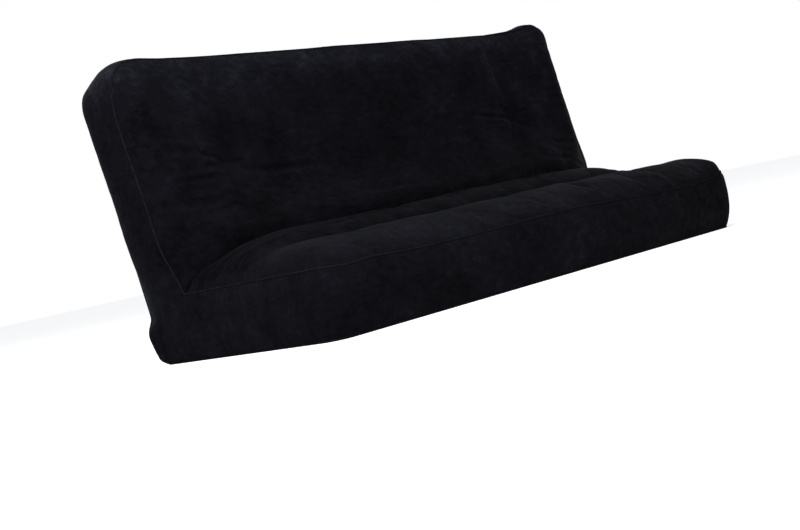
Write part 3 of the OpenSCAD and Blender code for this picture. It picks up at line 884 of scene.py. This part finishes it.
def hem(piece):
    """Turn the panel's raw edge in behind its seam."""
    points, normals = points_of(piece), normals_of(piece)
    activate(piece)
    with edit_mode("EDGE", "DESELECT"):
        bpy.ops.mesh.select_non_manifold()
        bpy.ops.mesh.mark_sharp()
        bpy.ops.mesh.extrude_region_move()
    turned = points_of(piece)
    tree = KDTree(len(points))
    for n, point in enumerate(points):
        tree.insert(point, n)
    tree.balance()
    for n in range(len(points), len(turned)):
        _, old, _ = tree.find(turned[n])
        turned[n] -= normals[old] * HEM
    place_points(piece, turned)


# Room to the filling and half the gap in the crease, before the skin is subdivided and after.
COARSE_ROOM, COARSE_GAP = 0.0035, 0.0008
FINE_ROOM, FINE_GAP = 0.0026, 0.0006
SKIN = {}


def take_panel(name, *nodes):
    """Cut one panel out of the stuffed skin, turn its edges in and dress it."""
    skin = SKIN["skin"]
    numbers = panel_of_faces(skin)
    activate(skin)
    bpy.ops.object.mode_set(mode="EDIT")
    bpy.ops.mesh.select_mode(type="FACE")
    bpy.ops.mesh.select_all(action="DESELECT")
    bpy.ops.object.mode_set(mode="OBJECT")
    skin.data.polygons.foreach_set("select", numbers == PANELS.index(name))
    bpy.ops.object.mode_set(mode="EDIT")
    bpy.ops.mesh.separate(type="SELECTED")
    bpy.ops.object.mode_set(mode="OBJECT")
    panel = next(piece for piece in bpy.context.selected_objects if piece != skin)
    panel.name = panel.data.name = name
    hem(panel)
    activate(panel)
    bpy.ops.object.shade_smooth()
    panel.data.materials.clear()
    panel.data.materials.append(microsuede())
    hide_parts(*nodes)
    return panel


class FUTON_OT_skin(bpy.types.Operator):
    """Shape and stuff the cover's skin, before it is cut into its panels"""

    bl_idname = "futon.skin"
    bl_label = "Stuffed skin"

    def execute(self, context):
        cover = context.scene.futon_cover
        skin, place = box_lattice()
        points = settle(rest_shape(place), place)
        _, j, k = place.T
        for section, mine in ((SEAT, j <= CREASE_ROW), (BACK, j > CREASE_ROW)):
            chosen = mine & (k == NH)
            for x, depth in TUFTS[section]:
                dip = tuft_dip(points, section, x, depth * cover.tuft_depth)
                points[chosen] -= dip[chosen, None] * section_axes(section)[1]
        place_points(skin, points)
        points = stuff(skin, place, cover.pressure, cover.slack)
        points = keep_sides(clear_of_filling(points, COARSE_ROOM), place, COARSE_GAP)
        place_points(skin, points)
        store_place(skin, place)
        seam_creases(skin, place)
        activate(skin)
        finer = skin.modifiers.new("finer", "SUBSURF")
        finer.levels = finer.render_levels = 1
        bpy.ops.object.modifier_apply(modifier="finer")
        place = stored_place(skin)
        points = keep_sides(sewn_detail(skin, place, cover.wrinkles), place, FINE_GAP)
        place_points(skin, clear_of_filling(points, FINE_ROOM))
        make_seam_lines(skin, place, cover.welt_radius)
        paint_light_and_shade(skin)
        SKIN["skin"] = skin
        return {"FINISHED"}


class FUTON_OT_sleeping_panel(bpy.types.Operator):
    """Cut the panel that one sits and leans on, from the front seam to the head seam"""

    bl_idname = "futon.sleeping_panel"
    bl_label = "Sleeping panel"

    def execute(self, context):
        cross_fold(take_panel("sleeping_panel", "seat_cover_top", "back_cover_top"))
        return {"FINISHED"}


class FUTON_OT_rear_panel(bpy.types.Operator):
    """Cut the panel under the seat and behind the back"""

    bl_idname = "futon.rear_panel"
    bl_label = "Rear panel"

    def execute(self, context):
        cross_fold(take_panel("rear_panel", "seat_cover_underside", "back_cover_underside"))
        return {"FINISHED"}


class FUTON_OT_borders(bpy.types.Operator):
    """Cut the front, head and end borders"""

    bl_idname = "futon.borders"
    bl_label = "Borders"

    def execute(self, context):
        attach(take_panel("front_border", "seat_border_front"), SEAT)
        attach(take_panel("head_border", "back_border_head"), BACK)
        for side in ("left", "right"):
            cross_fold(take_panel(side + "_border", "seat_border_" + side,
                                  "back_border_" + side))
        bpy.data.objects.remove(SKIN.pop("skin"))
        return {"FINISHED"}


# ---- Welts ----

SEAMS = {}


def above_underside(points, seat_side, least):
    """Lift points so that they clear the underside and the rear plane by at least this much."""
    for section, (u, h), mine in zip((SEAT, BACK), flat(points), (seat_side, ~seat_side)):
        _, up = section_axes(section)
        lack = np.where(mine & (u > -0.01), np.maximum(least - h, 0), 0)
        points += lack[:, None] * up
    return points


def make_seam_lines(skin, place, radius):
    """Keep the two seam lines, in order round the mattress, for the welts."""
    points = points_of(skin)
    i, j, k = place.T
    points = above_underside(points, j < CREASE_ROW, radius + 0.0002)
    for name, level in (("upper", NH), ("lower", 0)):
        chosen = np.nonzero(on_rim(i, j) & at(k, level))[0]
        ci, cj = i[chosen], j[chosen]
        turn = np.select([at(cj, 0), at(ci, NX), at(cj, NT)],
                         [ci, NX + cj, NX + NT + (NX - ci)], 2 * NX + NT + (NT - cj))
        SEAMS[name] = points[chosen[np.argsort(turn)]]


WELT_SIDES = 10


def tube(name, line, radius):
    """A closed cord of a given radius along a closed line."""
    count = len(line)
    ahead = np.roll(line, -1, 0) - np.roll(line, 1, 0)
    ahead /= np.linalg.norm(ahead, axis=1, keepdims=True)
    up = np.tile(np.array([[0.0, -0.66, 0.75]]), (count, 1))
    side = np.cross(ahead, up)
    side /= np.linalg.norm(side, axis=1, keepdims=True)
    up = np.cross(side, ahead)
    deselect()
    bpy.ops.mesh.primitive_grid_add(x_subdivisions=WELT_SIDES, y_subdivisions=count, size=1)
    cord = bpy.context.object
    cord.name = cord.data.name = name
    grid = np.round((points_of(cord)[:, :2] + 0.5) * [WELT_SIDES, count]).astype(int)
    angle = 2 * math.pi * grid[:, 0] / WELT_SIDES
    n = grid[:, 1] % count
    ring = side[n] * np.cos(angle)[:, None] + up[n] * np.sin(angle)[:, None]
    place_points(cord, line[n] + ring * radius)
    activate(cord)
    with edit_mode():
        bpy.ops.mesh.remove_doubles(threshold=1e-5)
        bpy.ops.mesh.normals_make_consistent(inside=False)
    bpy.ops.object.shade_smooth()
    return cord


def smooth_line(line, rounds):
    """Even out a closed line."""
    for _ in range(rounds):
        line = 0.5 * line + 0.25 * (np.roll(line, 1, 0) + np.roll(line, -1, 0))
    return line


class FUTON_OT_welts(bpy.types.Operator):
    """Lay a piped cord along the upper and the lower border seam"""

    bl_idname = "futon.welts"
    bl_label = "Welts"

    def execute(self, context):
        for name, nodes in (("upper", ("seat_welt_top", "back_welt_top")),
                            ("lower", ("seat_welt_bottom", "back_welt_bottom"))):
            radius = context.scene.futon_cover.welt_radius
            cord = tube(name + "_welt", smooth_line(SEAMS[name], 2), radius)
            cord.data.materials.append(piping())
            cross_fold(cord)
            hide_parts(*nodes)
        return {"FINISHED"}


# ---- Materials ----

def new_material(name):
    """A material with nothing but a Principled shader and its output."""
    material = bpy.data.materials.new(name)
    material.use_nodes = True
    return material, material.node_tree, material.node_tree.nodes["Principled BSDF"]


def fill_in(tree, node, **sockets):
    """Set or link inputs of a node, named with underscores for their spaces."""
    for name, value in sockets.items():
        socket = node.inputs[name.replace("_", " ")]
        if isinstance(value, bpy.types.NodeSocket):
            tree.links.new(value, socket)
        else:
            socket.default_value = value


def calculate(tree, operation, first, second):
    """The sum, the product or the larger one of two values."""
    node = tree.nodes.new("ShaderNodeMath")
    node.operation = operation
    tree.links.new(first, node.inputs[0])
    if isinstance(second, bpy.types.NodeSocket):
        tree.links.new(second, node.inputs[1])
    else:
        node.inputs[1].default_value = second
    return node.outputs[0]


def object_place(tree):
    """The piece's own coordinates."""
    return tree.nodes.new("ShaderNodeTexCoord").outputs["Object"]


def noise(tree, scale, detail=3.0, roughness=0.5, stretch=None):
    """A noise texture on the piece's own coordinates."""
    where = object_place(tree)
    if stretch:
        mapping = tree.nodes.new("ShaderNodeMapping")
        fill_in(tree, mapping, Scale=stretch, Vector=where)
        where = mapping.outputs["Vector"]
    texture = tree.nodes.new("ShaderNodeTexNoise")
    fill_in(tree, texture, Scale=scale, Detail=detail, Roughness=roughness, Vector=where)
    return texture.outputs["Fac"]


def bands(tree, direction, scale, distortion, detail=2.0):
    """Wavy bands on the piece's own coordinates."""
    texture = tree.nodes.new("ShaderNodeTexWave")
    texture.bands_direction = direction
    fill_in(tree, texture, Scale=scale, Distortion=distortion, Detail=detail,
            Vector=object_place(tree))
    return texture.outputs["Fac"]


def ramp(tree, value, stops):
    """Colours picked by a value."""
    node = tree.nodes.new("ShaderNodeValToRGB")
    tree.links.new(value, node.inputs["Fac"])
    elements = node.color_ramp.elements
    elements[0].position, elements[-1].position = stops[0][0], stops[-1][0]
    for position, _ in stops[1:-1]:
        elements.new(position)
    for element, (_, colour) in zip(elements, stops):
        element.color = (*colour, 1)
    return node.outputs["Color"]


def map_range(tree, value, **limits):
    """A value stretched from one range to another."""
    node = tree.nodes.new("ShaderNodeMapRange")
    fill_in(tree, node, Value=value, **limits)
    return node.outputs["Result"]


def bump(tree, height, strength, distance, under=None):
    """A bump, on top of another one if there is one."""
    node = tree.nodes.new("ShaderNodeBump")
    fill_in(tree, node, Strength=strength, Distance=distance, Height=height)
    if under is not None:
        fill_in(tree, node, Normal=under)
    return node.outputs["Normal"]


@cache
def microsuede():
    """Dark brushed microsuede: short nap, soft brushed patches, painted light and shade, and a
    faint sheen.
    """
    material, tree, shader = new_material("brushed_microsuede")
    cover = bpy.context.scene.futon_cover
    dark, light = tuple(cover.dark), tuple(cover.light)
    middle = [0.55 * a + 0.45 * b for a, b in zip(dark, light)]
    # the darkest and lightest stops carry the painted shade and light as well as the deepest
    # brushed patches
    pressed_and_painted_shade, lifted_and_painted_light = [0.62 * part for part in dark], [2.1 * part for part in light]
    marks = tree.nodes.new("ShaderNodeMix")
    marks.data_type = "FLOAT"
    fill_in(tree, marks, Factor=0.50, A=noise(tree, 7.5, 9, 0.66, (1.0, 1.35, 1.0)),
            B=noise(tree, 34, 7, 0.72, (1.0, 1.8, 1.8)))
    nap_way = marks.outputs["Result"]
    # painted light and shade: the stored "nap" attribute shifts the colour lighter along the head
    # and darker on the seat and low on the back
    painted_shading = tree.nodes.new("ShaderNodeAttribute")
    painted_shading.attribute_name = "nap"
    brushed_and_painted_shading = calculate(tree, "ADD", nap_way, painted_shading.outputs["Fac"])
    colour = ramp(tree, brushed_and_painted_shading, [(0.33, pressed_and_painted_shade), (0.42, dark), (0.49, middle),
                                      (0.52, middle), (0.59, light), (0.70, lifted_and_painted_light)])
    rough = map_range(tree, nap_way, From_Min=0.40, From_Max=0.60, To_Min=0.95, To_Max=0.75)
    brushed = bump(tree, nap_way, 0.6, 0.0030)
    nap = bump(tree, noise(tree, 520, 3, 0.75), 0.7, 0.0012, brushed)
    fill_in(tree, shader, Base_Color=colour, Roughness=rough, Normal=nap,
            Specular_IOR_Level=0.02, Sheen_Weight=0.019, Sheen_Roughness=0.30,
            Sheen_Tint=(0.72, 0.80, 1.0, 1))
    return material


@cache
def piping():
    """The same cloth stretched over a cord, coloured a little lighter than the cover."""
    material, tree, shader = new_material("piping")
    colour = ramp(tree, noise(tree, 60, 3, 0.6),
                  [(0.3, (0.005, 0.005, 0.007)), (0.7, (0.011, 0.011, 0.014))])
    fill_in(tree, shader, Base_Color=colour, Roughness=0.7,
            Normal=bump(tree, noise(tree, 700, 2, 0.7), 0.4, 0.0005),
            Specular_IOR_Level=0.0, Sheen_Weight=0.010, Sheen_Roughness=0.3,
            Sheen_Tint=(0.7, 0.76, 1.0, 1))
    return material


def seen_rays(tree):
    """1 for what the camera, a mirror or glass sees straight away, and 0 for other light."""
    path = tree.nodes.new("ShaderNodeLightPath").outputs
    first = calculate(tree, "MAXIMUM", path["Is Camera Ray"], path["Is Glossy Ray"])
    return calculate(tree, "MAXIMUM", first, path["Is Transmission Ray"])


def studio_paper():
    """White paper floor that keeps the shadow and shows white in the open."""
    material, tree, shader = new_material("studio_paper")
    fill_in(tree, shader, Base_Color=(0.80, 0.80, 0.80, 1), Roughness=0.9,
            Specular_IOR_Level=0.0, Emission_Color=(1, 1, 1, 1),
            Emission_Strength=calculate(tree, "MULTIPLY", seen_rays(tree), 0.62))
    return material


def studio_world():
    """Even soft light all round, seen as white paper."""
    world = bpy.data.worlds.new("studio")
    world.use_nodes = True
    tree = world.node_tree
    soft = tree.nodes["Background"]
    fill_in(tree, soft, Color=(0.92, 0.95, 1.0, 1), Strength=0.40)
    paper = tree.nodes.new("ShaderNodeBackground")
    fill_in(tree, paper, Color=(1, 1, 1, 1), Strength=1.0)
    mix = tree.nodes.new("ShaderNodeMixShader")
    tree.links.new(seen_rays(tree), mix.inputs["Fac"])
    tree.links.new(soft.outputs[0], mix.inputs[1])
    tree.links.new(paper.outputs[0], mix.inputs[2])
    fill_in(tree, tree.nodes["World Output"], Surface=mix.outputs[0])
    return world


@cache
def cloth_weave(name, light, dark, pitch, sheen=0.0):
    """A plain weave of two sets of threads at a given pitch, with uneven yarns."""
    material, tree, shader = new_material(name)
    warp, weft = (bands(tree, axis, 0.314 / pitch, 0.6) for axis in ("X", "Z"))
    cross = calculate(tree, "MULTIPLY", warp, weft)
    tint = calculate(tree, "ADD", cross, noise(tree, 60, 4, 0.6, (1.0, 1.0, 6.0)))
    fill_in(tree, shader, Base_Color=ramp(tree, tint, [(0.35, dark), (0.95, light)]),
            Normal=bump(tree, cross, 0.6, 0.0003), Roughness=0.9, Specular_IOR_Level=0.1,
            Sheen_Weight=sheen)
    return material


@cache
def fibre(name, light, dark, scale, stretch, depth):
    """Matted fibres, from two sizes of noise."""
    material, tree, shader = new_material(name)
    coarse = noise(tree, scale, 6, 0.7, stretch)
    fine = bump(tree, noise(tree, scale * 9, 3, 0.7), 0.5, depth * 0.3)
    fill_in(tree, shader, Base_Color=ramp(tree, coarse, [(0.34, dark), (0.66, light)]),
            Normal=bump(tree, coarse, 0.6, depth, fine), Roughness=0.95,
            Specular_IOR_Level=0.05)
    return material


def foam_cells():
    """Open-cell foam: small round pores in a yellowed body."""
    material, tree, shader = new_material("foam_cells")
    pores = tree.nodes.new("ShaderNodeTexVoronoi")
    fill_in(tree, pores, Scale=420, Vector=object_place(tree))
    colour = ramp(tree, noise(tree, 9, 4, 0.6),
                  [(0.35, (0.74, 0.60, 0.33)), (0.7, (0.87, 0.77, 0.52))])
    fill_in(tree, shader, Base_Color=colour, Roughness=0.9,
            Normal=bump(tree, pores.outputs["Distance"], 0.8, 0.0008))
    return material


def twisted_twine():
    """Waxed twine: strands that run round the cord at a slant."""
    material, tree, shader = new_material("waxed_twine")
    strands = bands(tree, "DIAGONAL", 260, 1.5)
    colour = ramp(tree, strands, [(0.2, (0.36, 0.27, 0.15)), (0.8, (0.60, 0.50, 0.34))])
    fill_in(tree, shader, Base_Color=colour, Roughness=0.55,
            Normal=bump(tree, strands, 0.7, 0.0004))
    return material


@cache
def satin_metal():
    """Dark plated zinc with fine drawn marks and slightly worn highlights."""
    material, tree, shader = new_material("plated_zinc")
    marks = noise(tree, 900, 4, 0.7, (0.08, 1.0, 1.0))
    colour = ramp(tree, marks, [(0.3, (0.16, 0.16, 0.165)), (0.75, (0.34, 0.34, 0.35))])
    fill_in(tree, shader, Base_Color=colour, Metallic=1.0,
            Roughness=map_range(tree, marks, To_Min=0.28, To_Max=0.48),
            Normal=bump(tree, marks, 0.2, 0.0001))
    return material


def zip_nylon():
    """Moulded nylon teeth, satin and nearly black."""
    material, tree, shader = new_material("moulded_nylon")
    colour = ramp(tree, noise(tree, 240, 3, 0.6),
                  [(0.3, (0.010, 0.010, 0.014)), (0.7, (0.020, 0.021, 0.028))])
    fill_in(tree, shader, Base_Color=colour, Roughness=0.38,
            Normal=bump(tree, noise(tree, 1500, 2, 0.5), 0.15, 0.0001))
    return material


def paint_node(node, material):
    """Give a carried-over solid its material."""
    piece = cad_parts[node]
    piece.data.materials.clear()
    piece.data.materials.append(material)


# ---- Zip ----

ZIP_HALF = 0.8735
ZIP_S = 0.76796
ZIP_H = 0.060
ZIP_COS, ZIP_SIN = 0.9798, 0.2
STITCH_SIDE = 0.0108
SUNK = 0.0003


def zip_axes():
    """Origin of the zip's middle line, its direction out of the border and across the zip."""
    away, up = section_axes(BACK)
    origin = np.array([0, FOLD_Y, FOLD_Z]) + away * ZIP_S + up * (ZIP_H - FOLD_Z)
    return origin, ZIP_COS * away - ZIP_SIN * up, ZIP_SIN * away + ZIP_COS * up


def repeat(name, unit, frames):
    """One mesh of copies of a unit piece, each put in its own frame."""
    shape = points_of(unit)
    faces = [list(face.vertices) for face in unit.data.polygons]
    bpy.data.objects.remove(unit)
    points, all_faces = [], []
    for n, (origin, axes) in enumerate(frames):
        points.append(shape @ axes + origin)
        all_faces += [[v + n * len(shape) for v in face] for face in faces]
    mesh = bpy.data.meshes.new(name)
    mesh.from_pydata(np.concatenate(points).tolist(), [], all_faces)
    piece = bpy.data.objects.new(name, mesh)
    bpy.context.scene.collection.objects.link(piece)
    activate(piece)
    with edit_mode():
        bpy.ops.mesh.normals_make_consistent(inside=False)
    return piece


def break_edges(piece, offset, segments=1):
    """Bevel every edge of a piece."""
    activate(piece)
    with edit_mode("EDGE"):
        bpy.ops.mesh.bevel(offset=offset, segments=segments, affect="EDGES")


def block(size, place):
    """A plain block of a given size at a given place."""
    deselect()
    bpy.ops.mesh.primitive_cube_add(size=1, location=(0, 0, 0))
    piece = bpy.context.object
    place_points(piece, points_of(piece) * size + place)
    return piece


def tooth():
    """One moulded tooth: a shank that widens into a rounded head."""
    piece = block([0.00125, 0.0032, 0.0021], [0, 0.0012, 0])
    break_edges(piece, 0.0003)
    points = points_of(piece)
    head = points[:, 1] < 0.0002
    points[head, 2] *= 0.82
    points[~head, 0] *= 0.80
    place_points(piece, points)
    return piece


def tape_edge():
    """The woven edge of one tape, which the teeth are moulded on."""
    piece = block([2 * ZIP_HALF, 0.0027, 0.0005], [0, 0.0014, -0.0007])
    break_edges(piece, 0.0001, 2)
    return piece


def stitch():
    """One sunken stitch: a short thread that dives at both ends."""
    deselect()
    bpy.ops.mesh.primitive_cylinder_add(vertices=6, radius=0.00030, depth=0.0026,
                                        rotation=(0, math.pi / 2, 0))
    piece = bpy.context.object
    bpy.ops.object.transform_apply(location=True, rotation=True, scale=True)
    break_edges(piece, 0.0001)
    points = points_of(piece)
    points[:, 2] -= 0.0003 * (points[:, 0] / 0.0013) ** 2
    place_points(piece, points)
    return piece


def along_zip(pitch, shift):
    """Places one pitch apart along the zip, the first one this share of a pitch in."""
    count = int(2 * ZIP_HALF / pitch)
    return [-ZIP_HALF + (n + shift) * pitch for n in range(count)]


def sew_on(piece, material):
    """Give a piece of the zip its material and let it ride on the back."""
    piece.data.materials.append(material)
    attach(piece, BACK)


class FUTON_OT_zip(bpy.types.Operator):
    """Mould the zip's teeth, stitch its tapes down and finish its metal"""

    bl_idname = "futon.zip"
    bl_label = "Zip"

    def execute(self, context):
        settings = context.scene.futon_zip
        origin, out, across = zip_axes()
        along_x = np.array([1.0, 0.0, 0.0])
        near, far = (np.stack([along_x, across * side, out]) for side in (1, -1))
        frames = [(origin + along_x * x, axes) for axes, shift in ((near, 0.25), (far, 0.75))
                  for x in along_zip(settings.tooth_pitch, shift)]
        teeth = repeat("zip_tooth_rows", tooth(), frames)
        sew_on(teeth, zip_nylon())
        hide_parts("zip_teeth")
        frames = [(origin + along_x * x + across * side - out * SUNK, near)
                  for side in (-STITCH_SIDE, STITCH_SIDE)
                  for x in along_zip(settings.stitch_pitch, 0.5)]
        thread = cloth_weave("sewing_thread", (0.022, 0.023, 0.032), (0.010, 0.010, 0.015),
                             0.0004, 0.02)
        sew_on(repeat("zip_stitches", stitch(), frames), thread)
        tape = cloth_weave("zip_tape_weave", (0.024, 0.026, 0.036), (0.010, 0.011, 0.016), 0.0007)
        paint_node("zip_tapes", tape)
        edges = repeat("zip_tape_edges", tape_edge(), [(origin, near), (origin, far)])
        sew_on(edges, tape)
        for node in ("zip_stops", "zip_slider", "zip_pull"):
            paint_node(node, satin_metal())
        return {"FINISHED"}


# ---- What is inside ----

class FUTON_OT_ticking(bpy.types.Operator):
    """Give the inner bags their cotton weave"""

    bl_idname = "futon.ticking"
    bl_label = "Ticking"

    def execute(self, context):
        colour = tuple(context.scene.futon_inside.ticking)
        weave = cloth_weave("cotton_ticking", colour, tuple(0.72 * part for part in colour),
                            0.0012)
        for node in ("seat_ticking", "back_ticking"):
            paint_node(node, weave)
        return {"FINISHED"}


class FUTON_OT_filling(bpy.types.Operator):
    """Give the batting its fibres and the foam its cells"""

    bl_idname = "futon.filling"
    bl_label = "Filling"

    def execute(self, context):
        colour = tuple(context.scene.futon_inside.batting)
        batting = fibre("cotton_batting", colour, tuple(0.70 * part for part in colour),
                        45, (1.0, 1.0, 3.5), 0.0025)
        foam = foam_cells()
        for section in ("seat_", "back_"):
            for layer in ("lower_batting", "core_batting", "upper_batting"):
                paint_node(section + layer, batting)
            for layer in ("lower_foam", "upper_foam"):
                paint_node(section + layer, foam)
        return {"FINISHED"}


class FUTON_OT_tufts(bpy.types.Operator):
    """Give the tufting twine its strands and the washers their felt"""

    bl_idname = "futon.tufts"
    bl_label = "Tufts"

    def execute(self, context):
        twine = twisted_twine()
        felt = fibre("wool_felt", (0.66, 0.62, 0.54), (0.40, 0.37, 0.31), 420,
                     (1.0, 1.0, 1.0), 0.0006)
        for section in ("seat", "back"):
            paint_node(section + "_tuft_twines", twine)
            paint_node(section + "_tuft_washers", felt)
        return {"FINISHED"}


# The lamps with their places and sizes, what they are aimed at, and where the camera stands.
LAMPS = (("soft_box", (-2.0, -1.3, 2.3), 1.9), ("rear_box", (-0.5, 2.3, 3.3), 2.2))
LAMP_AIM = Vector((-0.1, 0.1, 0.4))
CAMERA_PLACE = (-3.1492, -2.68065, 0.2390)
CAMERA_RIGHT = (0.66939, -0.71227, -0.21111)
CAMERA_UP = (0.16626, -0.13330, 0.97702)
CAMERA_BACK = (-0.72405, -0.68913, 0.02920)


class FUTON_OT_stage(bpy.types.Operator):
    """Lay the floor and set up the lamps, the world and the camera"""

    bl_idname = "futon.stage"
    bl_label = "Stage"

    def execute(self, context):
        deselect()
        bpy.ops.mesh.primitive_plane_add(size=30, location=(0, 0, 0))
        floor = context.object
        floor.name = "studio_floor"
        floor.data.materials.append(studio_paper())
        context.scene.world = studio_world()
        stage = context.scene.futon_stage
        powers = (stage.lamp_power, stage.rear_power)
        for (name, place, size), power in zip(LAMPS, powers):
            bpy.ops.object.light_add(type="AREA", location=place)
            lamp = context.object
            lamp.name = name
            lamp.data.energy = power
            lamp.data.size = size
            aim = (LAMP_AIM - lamp.location).to_track_quat("-Z", "Y")
            lamp.rotation_euler = aim.to_euler()
        camera = bpy.data.objects.new("camera", bpy.data.cameras.new("camera"))
        context.scene.collection.objects.link(camera)
        turn = Matrix((CAMERA_RIGHT, CAMERA_UP, CAMERA_BACK)).transposed().to_4x4()
        camera.matrix_world = Matrix.Translation(CAMERA_PLACE) @ turn
        camera.data.sensor_width = 36
        camera.data.lens = stage.lens
        context.scene.camera = camera
        context.scene.view_settings.view_transform = "Standard"
        return {"FINISHED"}


# ---- Settings and panel ----

class FutonCover(bpy.types.PropertyGroup):
    """Sizes and colours of the cover"""

    dark: FloatVectorProperty(name="Brushed dark", subtype="COLOR", size=3, min=0, max=1,
                              description="Colour where the nap lies away",
                              default=(0.0026, 0.0026, 0.0036))
    light: FloatVectorProperty(name="Brushed light", subtype="COLOR", size=3, min=0, max=1,
                               description="Colour where the nap stands up",
                               default=(0.0048, 0.0050, 0.0074))
    welt_radius: FloatProperty(name="Welt radius", unit="LENGTH", default=0.0030, min=0.002,
                               max=0.006, precision=4,
                               description="Radius of the piped cords along the seams")
    pressure: FloatProperty(name="Stuffing", default=2.0, min=0, max=6,
                            description="Pressure that blows the cover up as cloth")
    slack: FloatProperty(name="Slack", default=0.009, min=0, max=0.05, precision=3,
                         description="Share by which the cloth is larger than its frame")
    tuft_depth: FloatProperty(name="Tuft depth", default=1.0, min=0, max=2,
                              description="Depth of the tufts, as a share of the usual one")
    wrinkles: FloatProperty(name="Wrinkles", default=1.0, min=0, max=2,
                            description="Depth of the wrinkles, as a share of the usual one")


class FutonZip(bpy.types.PropertyGroup):
    """Sizes of the zip"""

    tooth_pitch: FloatProperty(name="Tooth pitch", unit="LENGTH", default=0.0030, min=0.002,
                               max=0.006, precision=4,
                               description="Distance between two teeth of one row")
    stitch_pitch: FloatProperty(name="Stitch pitch", unit="LENGTH", default=0.0036,
                                min=0.003, max=0.008, precision=4,
                                description="Distance between two stitches")


class FutonInside(bpy.types.PropertyGroup):
    """Colours of the ticking and the filling"""

    ticking: FloatVectorProperty(name="Ticking", subtype="COLOR", size=3, min=0, max=1,
                                 description="Colour of the cotton bags",
                                 default=(0.78, 0.74, 0.64))
    batting: FloatVectorProperty(name="Batting", subtype="COLOR", size=3, min=0, max=1,
                                 description="Colour of the cotton batting",
                                 default=(0.86, 0.84, 0.78))


class FutonStage(bpy.types.PropertyGroup):
    """Light and camera"""

    lamp_power: FloatProperty(name="Lamp", unit="POWER", default=95, min=0, max=400,
                              description="Power of the soft lamp above the seat")
    rear_power: FloatProperty(name="Rear lamp", unit="POWER", default=75, min=0, max=400,
                              description="Power of the soft lamp behind the back")
    lens: FloatProperty(name="Lens", unit="CAMERA", default=62.45, min=20, max=200,
                        description="Focal length of the camera")


class FUTON_PT_panel(bpy.types.Panel):
    """Lists the futon's settings and pieces"""

    bl_label = "Futon Mattress"
    bl_idname = "FUTON_PT_panel"
    bl_space_type = "VIEW_3D"
    bl_region_type = "UI"
    bl_category = "Futon"

    def draw(self, context):
        for group, title in GROUPS.items():
            box = self.layout.box()
            box.label(text=title)
            settings = getattr(context.scene, group)
            for name in settings.__annotations__:
                box.prop(settings, name)
        column = self.layout.column(align=True)
        for one in OPERATORS:
            column.operator(one.bl_idname)


GROUPS = {"futon_cover": "Cover", "futon_zip": "Zip", "futon_inside": "Inside",
          "futon_stage": "Stage"}
TYPES = {"futon_cover": FutonCover, "futon_zip": FutonZip, "futon_inside": FutonInside,
         "futon_stage": FutonStage}
OPERATORS = (FUTON_OT_stage, FUTON_OT_skin, FUTON_OT_sleeping_panel, FUTON_OT_rear_panel,
             FUTON_OT_borders, FUTON_OT_welts, FUTON_OT_zip, FUTON_OT_ticking,
             FUTON_OT_filling, FUTON_OT_tufts)


def register():
    for one in (*TYPES.values(), *OPERATORS, FUTON_PT_panel):
        bpy.utils.register_class(one)
    for name, group in TYPES.items():
        setattr(bpy.types.Scene, name, PointerProperty(type=group))


def unregister():
    for name in TYPES:
        delattr(bpy.types.Scene, name)
    for one in (FUTON_PT_panel, *reversed(OPERATORS), *TYPES.values()):
        bpy.utils.unregister_class(one)


def main():
    """Build every piece in order."""
    register()
    bpy.ops.futon.stage()
    bpy.ops.futon.skin()
    bpy.ops.futon.sleeping_panel()
    bpy.ops.futon.rear_panel()
    bpy.ops.futon.borders()
    bpy.ops.futon.welts()
    bpy.ops.futon.zip()
    bpy.ops.futon.ticking()
    bpy.ops.futon.filling()
    bpy.ops.futon.tufts()


if __name__ == "__main__":
    main()
